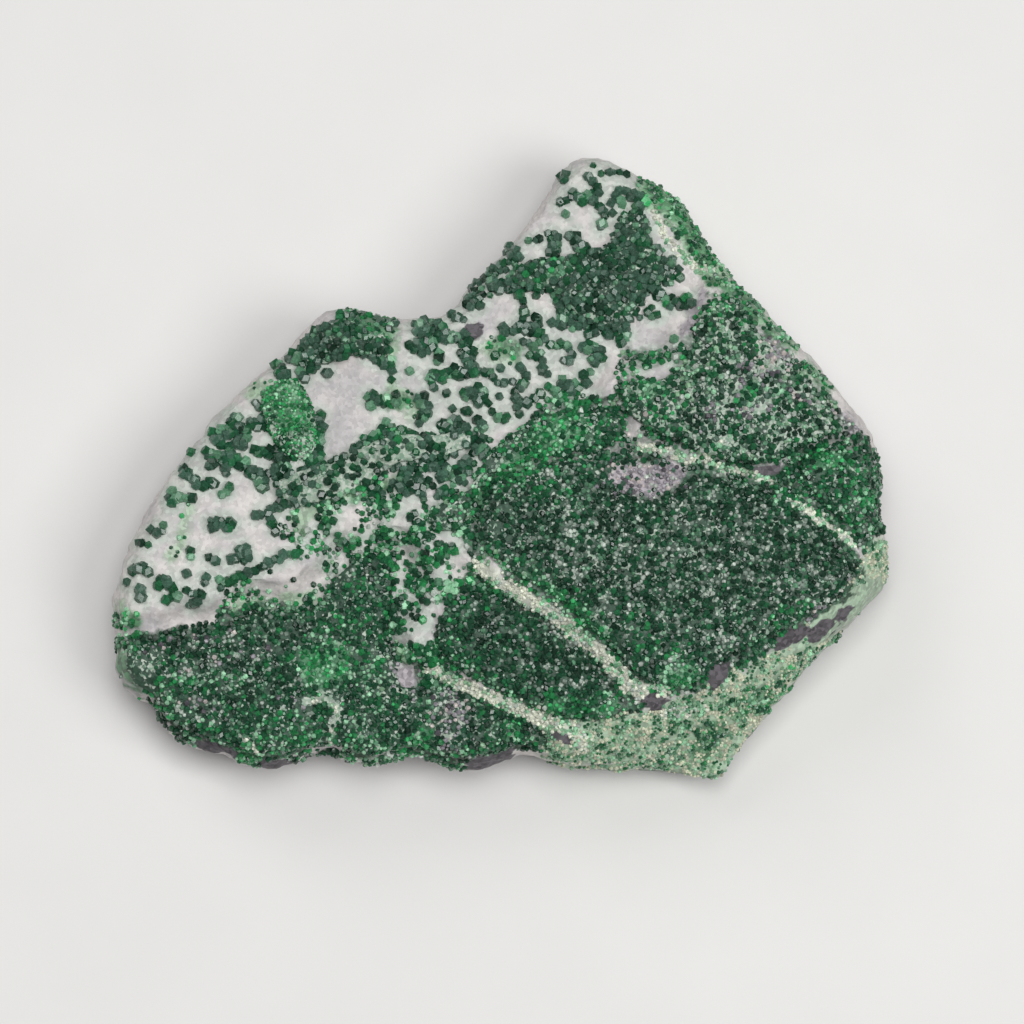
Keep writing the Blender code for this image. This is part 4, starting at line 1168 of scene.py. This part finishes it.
def glassy():
    """The material that all garnets share, built the first time it is asked for."""
    return bpy.data.materials.get("glassy_garnet") or garnet_material()


class UVAROVITE_OT_rock(bpy.types.Operator):
    """The slab of rock, with broken sides and its marks"""

    bl_idname = "uvarovite.rock"
    bl_label = "Rock"

    def execute(self, context):
        rock = frame_copy("matrix", "rock")
        apply_modifier(rock, "REMESH", mode="VOXEL", voxel_size=sizes().rock_grid)
        self.soften_bumps(rock)
        self.roughen(rock)
        self.mark(rock)
        rock.data.materials.append(rock_material())
        shade_smooth(rock, 40)
        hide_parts("matrix")
        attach(rock, "root")
        return {"FINISHED"}

    def soften_bumps(self, rock):
        """Lets the rock under the standing garnets sink back, as those are grown anew."""
        places = vertex_places(rock)
        near = np.zeros(len(places), bool)
        for x, y in STANDING_GARNETS:
            near |= np.hypot(places[:, 0] - x * MM, places[:, 1] - y * MM) < BUMP_REACH
        near &= vertex_normals(rock)[:, 2] > BUMP_FACING
        near &= places[:, 2] > BUMP_HEIGHT
        group = rock.vertex_groups.new(name="bumps")
        group.add([int(i) for i in np.nonzero(near)[0]], 1.0, "REPLACE")
        apply_modifier(rock, "SMOOTH", factor=0.5, iterations=BUMP_SMOOTHING, vertex_group="bumps")
        rock.vertex_groups.clear()

    def roughen(self, rock):
        """Pushes the surface in and out, most where the rock is broken."""
        places, normals = vertex_places(rock), vertex_normals(rock)
        relief = sizes().rock_relief
        steep = np.clip((0.92 - normals[:, 2]) / 0.3, 0, 1)
        coarse = roughness_field(places, COARSE_FORM, 1.0)
        middle = roughness_field(places, MIDDLE_FORM, 5.0)
        hackly = np.abs(roughness_field(places, HACKLY_FORM, 9.0)) * 2 - 0.6
        push = relief * (0.25 * coarse + 0.25 * middle)
        push += relief * steep * (0.5 * coarse + 0.9 * hackly + 0.3 * middle)
        off_back = np.clip((places[:, 2] - BACK_MARGIN) / BACK_FADE, 0, 1)
        set_places(rock, places + normals * (push * off_back)[:, None])

    def wander(self, pixels, places):
        """The pixels shifted a little this way and that, so that marks have uneven edges."""
        for size, reach in EDGE_WANDER:
            shifts = [roughness_field(places, size, seed) for seed in (2.0, 6.0)]
            pixels = pixels + reach * np.column_stack(shifts)
        return pixels

    def mark(self, rock):
        """Masks for what lies on the bare rock."""
        places, normals = vertex_places(rock), vertex_normals(rock)
        pixels = self.wander(photo_pixels(places), places)
        upward = np.clip((normals[:, 2] - 0.05) / 0.3, 0, 1)
        shown = np.clip((normals[:, 2] + 0.15) / 0.2, 0, 1)
        dark_below = BASE_HEIGHT + BASE_WANDER * roughness_field(places, 6 * MM, 14.0)
        dark_below += BASE_RAGGED * roughness_field(places, 1.8 * MM, 15.0)
        store_mask(rock, "side", np.clip((dark_below - places[:, 2]) / BASE_EDGE, 0, BASE_STRENGTH))
        halos = [(half_width + HALO_REACH, line) for half_width, line in GARNET_CHAINS]
        store_mask(rock, "halo", band_mask(pixels, halos, SOFTNESS["halo"]) * upward)
        lavender = outline_mask(pixels, LAVENDER_PATCHES, SOFTNESS["lavender"])
        store_mask(rock, "lavender", lavender * shown)
        coats = band_mask(pixels, FLANK_BANDS + RIM_BANDS, SOFTNESS["coat"]) * np.clip(upward + 0.4, 0, 1)
        tufts = band_mask(pixels, MINT_BANDS, SOFTNESS["tuft"]) * upward
        store_mask(rock, "mint", np.maximum(coats, tufts))
        store_mask(rock, "ground", self.ground(pixels) * upward)
        store_mask(rock, "stain", band_mask(pixels, GREEN_STAINS, SOFTNESS["stain"]) * upward)
        store_mask(rock, "cream", band_mask(pixels, CREAM_LEDGES, SOFTNESS["ledge"]) * shown)
        store_mask(rock, "chromite", outline_mask(pixels, CHROMITE_SPOTS, SOFTNESS["ore"]) * shown)

    def ground(self, pixels):
        """How green the rock between a field's garnets is."""
        green = np.zeros(len(pixels))
        for name, outline in reversed(FIELDS):
            green[inside(pixels, outline)] = GROWTHS[name].ground
        return green * (1 - outline_mask(pixels, BARE_WINDOWS + UNGREEN_LAVENDER, SOFTNESS["window"]))


class UVAROVITE_OT_crusts(bpy.types.Operator):
    """The sheets of small garnets"""

    bl_idname = "uvarovite.crusts"
    bl_label = "Garnet crusts"

    def execute(self, context):
        chance = np.random.default_rng(sizes().seed)
        bed_look = bed_material()
        for node, (slot, growth) in CRUSTS.items():
            bed = self.bed(node, GROWTHS[growth].ground, bed_look)
            garnets = grow(node + "_garnets", *plant(bed, GROWTHS[growth], self.outer, chance), chance)
            make_active(bed)
            garnets.select_set(True)
            bpy.ops.object.join()
            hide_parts(node)
            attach(bed, "root")
        return {"FINISHED"}

    def outer(self, places, normals):
        return normals[:, 2] > CRUST_FACING

    def bed(self, node, ground, material):
        """A finer copy of a sheet, its underside pushed into the rock."""
        bed = frame_copy(node, piece_name(node))
        apply_modifier(bed, "REMESH", mode="VOXEL", voxel_size=sizes().crust_grid)
        apply_modifier(bed, "SMOOTH", factor=0.5, iterations=BED_SMOOTHING)
        places, normals = vertex_places(bed), vertex_normals(bed)
        push = BED_RELIEF * roughness_field(places, BED_GRAIN, 3.0)
        places = places + normals * push[:, None]
        places[:, 2] -= np.where(normals[:, 2] < 0, sizes().crust_sink, 0)
        set_places(bed, places)
        pixels = photo_pixels(places)
        bright = outline_mask(pixels, BRIGHT_PATCHES, SOFTNESS["bright"])
        store_mask(bed, "green", bright * BRIGHT_STRENGTH)
        bare = BARE_BY_LEDGES * band_mask(pixels, CREAM_LEDGES, SOFTNESS["bed_ledge"])
        bare += BARE_BY_LAVENDER * outline_mask(pixels, LAVENDER_PATCHES, SOFTNESS["lavender"])
        store_mask(bed, "ground", ground - bare)
        store_tint(bed, np.tile(SHADES["deep"], (len(places), 1)))
        bed.data.materials.append(material)
        shade_smooth(bed, 50)
        return bed


class UVAROVITE_OT_single_garnets(bpy.types.Operator):
    """The garnets that stand alone or in chains on bare rock"""

    bl_idname = "uvarovite.single_garnets"
    bl_label = "Single garnets"

    def execute(self, context):
        chance = np.random.default_rng(sizes().seed + 1)
        rock = surface_tree([bpy.data.objects["rock"]])
        crusts = crust_tree()
        spots = self.chain_spots(chance)
        crowds = [outline for name, outline in FIELDS if GROWTHS[name].largest < CROWD_LARGEST]
        crowded = in_any(np.array([pixel for pixel, _ in spots]), crowds)
        places, radii = [], []
        for (pixel, radius), near in zip(spots, crowded):
            origin, direction = sight_line(pixel)
            hit, normal, _, far = rock.ray_cast(origin, direction)
            covered = crusts.ray_cast(origin, direction)[3]
            if hit is None or (covered is not None and covered < far):
                continue
            radius *= CROWDED_SIZE if near else 1
            places.append(hit + normal * (CHAIN_LIFT * radius))
            radii.append(radius)
        places, radii = np.array(places), np.array(radii)
        pixels = photo_pixels(places)
        tints = pick_tints("grey", places, chance)
        crowded = in_any(pixels, crowds)
        tints[crowded] = pick_tints("mixed", places[crowded], chance)
        retint(tints, pixels, places, chance)
        garnets = grow("single_garnets", places, radii, tints, chance)
        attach(garnets, "root")
        return {"FINISHED"}

    def chain_spots(self, chance):
        """Photo pixels and radii of the garnets along the chains."""
        spots = []
        size = sizes().single_size
        for half_width, line in GARNET_CHAINS:
            rows = [0.0] if half_width < TWO_ROWS_FROM else [-0.5 * half_width, 0.5 * half_width]
            thinned = THIN_SIZE if half_width < THIN_UNDER else 1.0
            for point, across in self.along(line, CHAIN_STEP):
                for row in rows:
                    shift = across * row + chance.normal(0, CHAIN_JITTER, 2)
                    radius = size * chance.uniform(*CHAIN_SIZES) * thinned
                    spots.append((point + shift, radius))
        return spots

    def along(self, line, step):
        """Points about a step apart along a line, with the direction across it."""
        line = np.array(line, float)
        if len(line) == 1:
            return [(line[0], np.array((1.0, 0.0)))]
        travelled = np.concatenate([[0], np.cumsum(np.linalg.norm(np.diff(line, axis=0), axis=1))])
        stops = np.linspace(0, travelled[-1], max(2, round(travelled[-1] / step) + 1))
        points = np.column_stack([np.interp(stops, travelled, line[:, k]) for k in (0, 1)])
        headings = np.gradient(points, axis=0)
        headings /= np.linalg.norm(headings, axis=1)[:, None]
        return list(zip(points, np.column_stack([-headings[:, 1], headings[:, 0]])))


class UVAROVITE_OT_field_garnets(bpy.types.Operator):
    """The garnets that cover the rock round and between the crusts"""

    bl_idname = "uvarovite.field_garnets"
    bl_label = "Field garnets"

    def execute(self, context):
        chance = np.random.default_rng(sizes().seed + 3)
        rock = bpy.data.objects["rock"]
        crusts = crust_tree()
        grown = []
        for number, (name, _) in enumerate(FIELDS):
            allowed = partial(self.in_field, number)
            places, radii, tints = plant(rock, GROWTHS[name], allowed, chance)
            keep = ~lies_under(crusts, places)
            grown.append((places[keep], radii[keep], tints[keep]))
        garnets = grow("field_garnets", *(np.concatenate(parts) for parts in zip(*grown)), chance)
        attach(garnets, "root")
        return {"FINISHED"}

    def in_field(self, number, places, normals):
        """Which places are in this field, in no earlier one, and on neither ledges, coats nor ore."""
        pixels = photo_pixels(places)
        taken = in_any(pixels, [outline for _, outline in FIELDS[:number]])
        taken |= in_any(pixels, CHROMITE_SPOTS)
        taken |= band_mask(pixels, CREAM_LEDGES + FLANK_BANDS + RIM_BANDS, 1) > 0.5
        upper = (normals[:, 2] > FIELD_FACING) & (places[:, 2] > FIELD_HEIGHT)
        return upper & inside(pixels, FIELDS[number][1]) & ~taken


class UVAROVITE_OT_pale_grains(bpy.types.Operator):
    """The pale and green grains of the ledges, the broken flank, the rim and the green tufts"""

    bl_idname = "uvarovite.pale_grains"
    bl_label = "Pale grains"

    def execute(self, context):
        chance = np.random.default_rng(sizes().seed + 2)
        rock = bpy.data.objects["rock"]
        crusts = crust_tree()
        for name, bands in GRAIN_BANDS.items():
            allowed = partial(self.on_bands, bands)
            places, radii, tints = plant(rock, GROWTHS[name], allowed, chance)
            keep = ~lies_under(crusts, places)
            grains = grow(name + "_grains", places[keep], radii[keep], tints[keep], chance)
            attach(grains, "root")
        return {"FINISHED"}

    def on_bands(self, bands, places, normals):
        """Which places are on the bands, and on neither ore nor lavender patches."""
        pixels = photo_pixels(places)
        upper = (normals[:, 2] > GRAIN_FACING) & (places[:, 2] > GRAIN_HEIGHT)
        covered = band_mask(pixels, bands, 1) > 0.5
        return upper & covered & ~in_any(pixels, CHROMITE_SPOTS + LAVENDER_PATCHES)


class UVAROVITE_OT_stage(bpy.types.Operator):
    """The floor, the lights and the camera"""

    bl_idname = "uvarovite.stage"
    bl_label = "Stage"

    def execute(self, context):
        self.floor()
        for name, place, width, power in LIGHTS:
            self.light(name, place, width, power)
        self.sky()
        self.camera()
        return {"FINISHED"}

    def floor(self):
        deselect_all()
        bpy.ops.mesh.primitive_plane_add(size=FLOOR_WIDTH, location=(0, 0, -FLOOR_GAP))
        floor = bpy.context.active_object
        floor.name = "floor"
        bpy.ops.object.transform_apply(location=True)
        floor.data.materials.append(floor_material())

    def light(self, name, place, width, power):
        """A square soft light that faces the specimen."""
        lamp = bpy.data.lights.new(name, "AREA")
        lamp.size = width
        lamp.energy = power
        obj = bpy.data.objects.new(name, lamp)
        obj.location = place
        obj.rotation_mode = "QUATERNION"
        obj.rotation_quaternion = (Vector(place) - Vector(CAMERA_AIM)).to_track_quat("Z", "Y")
        bpy.context.scene.collection.objects.link(obj)

    def sky(self):
        world = bpy.data.worlds.new("studio")
        world.use_nodes = True
        background = world.node_tree.nodes["Background"]
        background.inputs["Color"].default_value = (1, 1, 1, 1)
        background.inputs["Strength"].default_value = SKY_STRENGTH
        bpy.context.scene.world = world
        bpy.context.scene.view_settings.view_transform = "Standard"

    def camera(self):
        lens = bpy.data.cameras.new("camera")
        lens.lens = CAMERA_LENS
        lens.sensor_width = SENSOR_WIDTH
        lens.clip_start = 0.01
        obj = bpy.data.objects.new("camera", lens)
        obj.location = camera_axes()[0]
        obj.rotation_euler = (CAMERA_TILT, 0, 0)
        bpy.context.scene.collection.objects.link(obj)
        bpy.context.scene.camera = obj


class UVAROVITE_PT_panel(bpy.types.Panel):
    """Lists the specimen's pieces, sizes and colours"""

    bl_idname = "UVAROVITE_PT_panel"
    bl_label = "Uvarovite"
    bl_space_type = "VIEW_3D"
    bl_region_type = "UI"
    bl_category = "Uvarovite"

    def draw(self, context):
        layout = self.layout
        for piece in PIECE_OPERATORS:
            layout.operator(piece.bl_idname)
        for group in (sizes(), colours()):
            for name in group.__annotations__:
                layout.prop(group, name)


PIECE_OPERATORS = (
    UVAROVITE_OT_rock,
    UVAROVITE_OT_crusts,
    UVAROVITE_OT_single_garnets,
    UVAROVITE_OT_field_garnets,
    UVAROVITE_OT_pale_grains,
    UVAROVITE_OT_stage,
)
CLASSES = (UvaroviteSizes, UvaroviteColours, *PIECE_OPERATORS, UVAROVITE_PT_panel)


def register():
    for each in CLASSES:
        bpy.utils.register_class(each)
    bpy.types.Scene.uvarovite_sizes = PointerProperty(type=UvaroviteSizes)
    bpy.types.Scene.uvarovite_colours = PointerProperty(type=UvaroviteColours)


def unregister():
    del bpy.types.Scene.uvarovite_colours
    del bpy.types.Scene.uvarovite_sizes
    for each in reversed(CLASSES):
        bpy.utils.unregister_class(each)


def main():
    register()
    bpy.ops.uvarovite.rock()
    bpy.ops.uvarovite.crusts()
    bpy.ops.uvarovite.single_garnets()
    bpy.ops.uvarovite.field_garnets()
    bpy.ops.uvarovite.pale_grains()
    bpy.ops.uvarovite.stage()


if __name__ == "__main__":
    main()
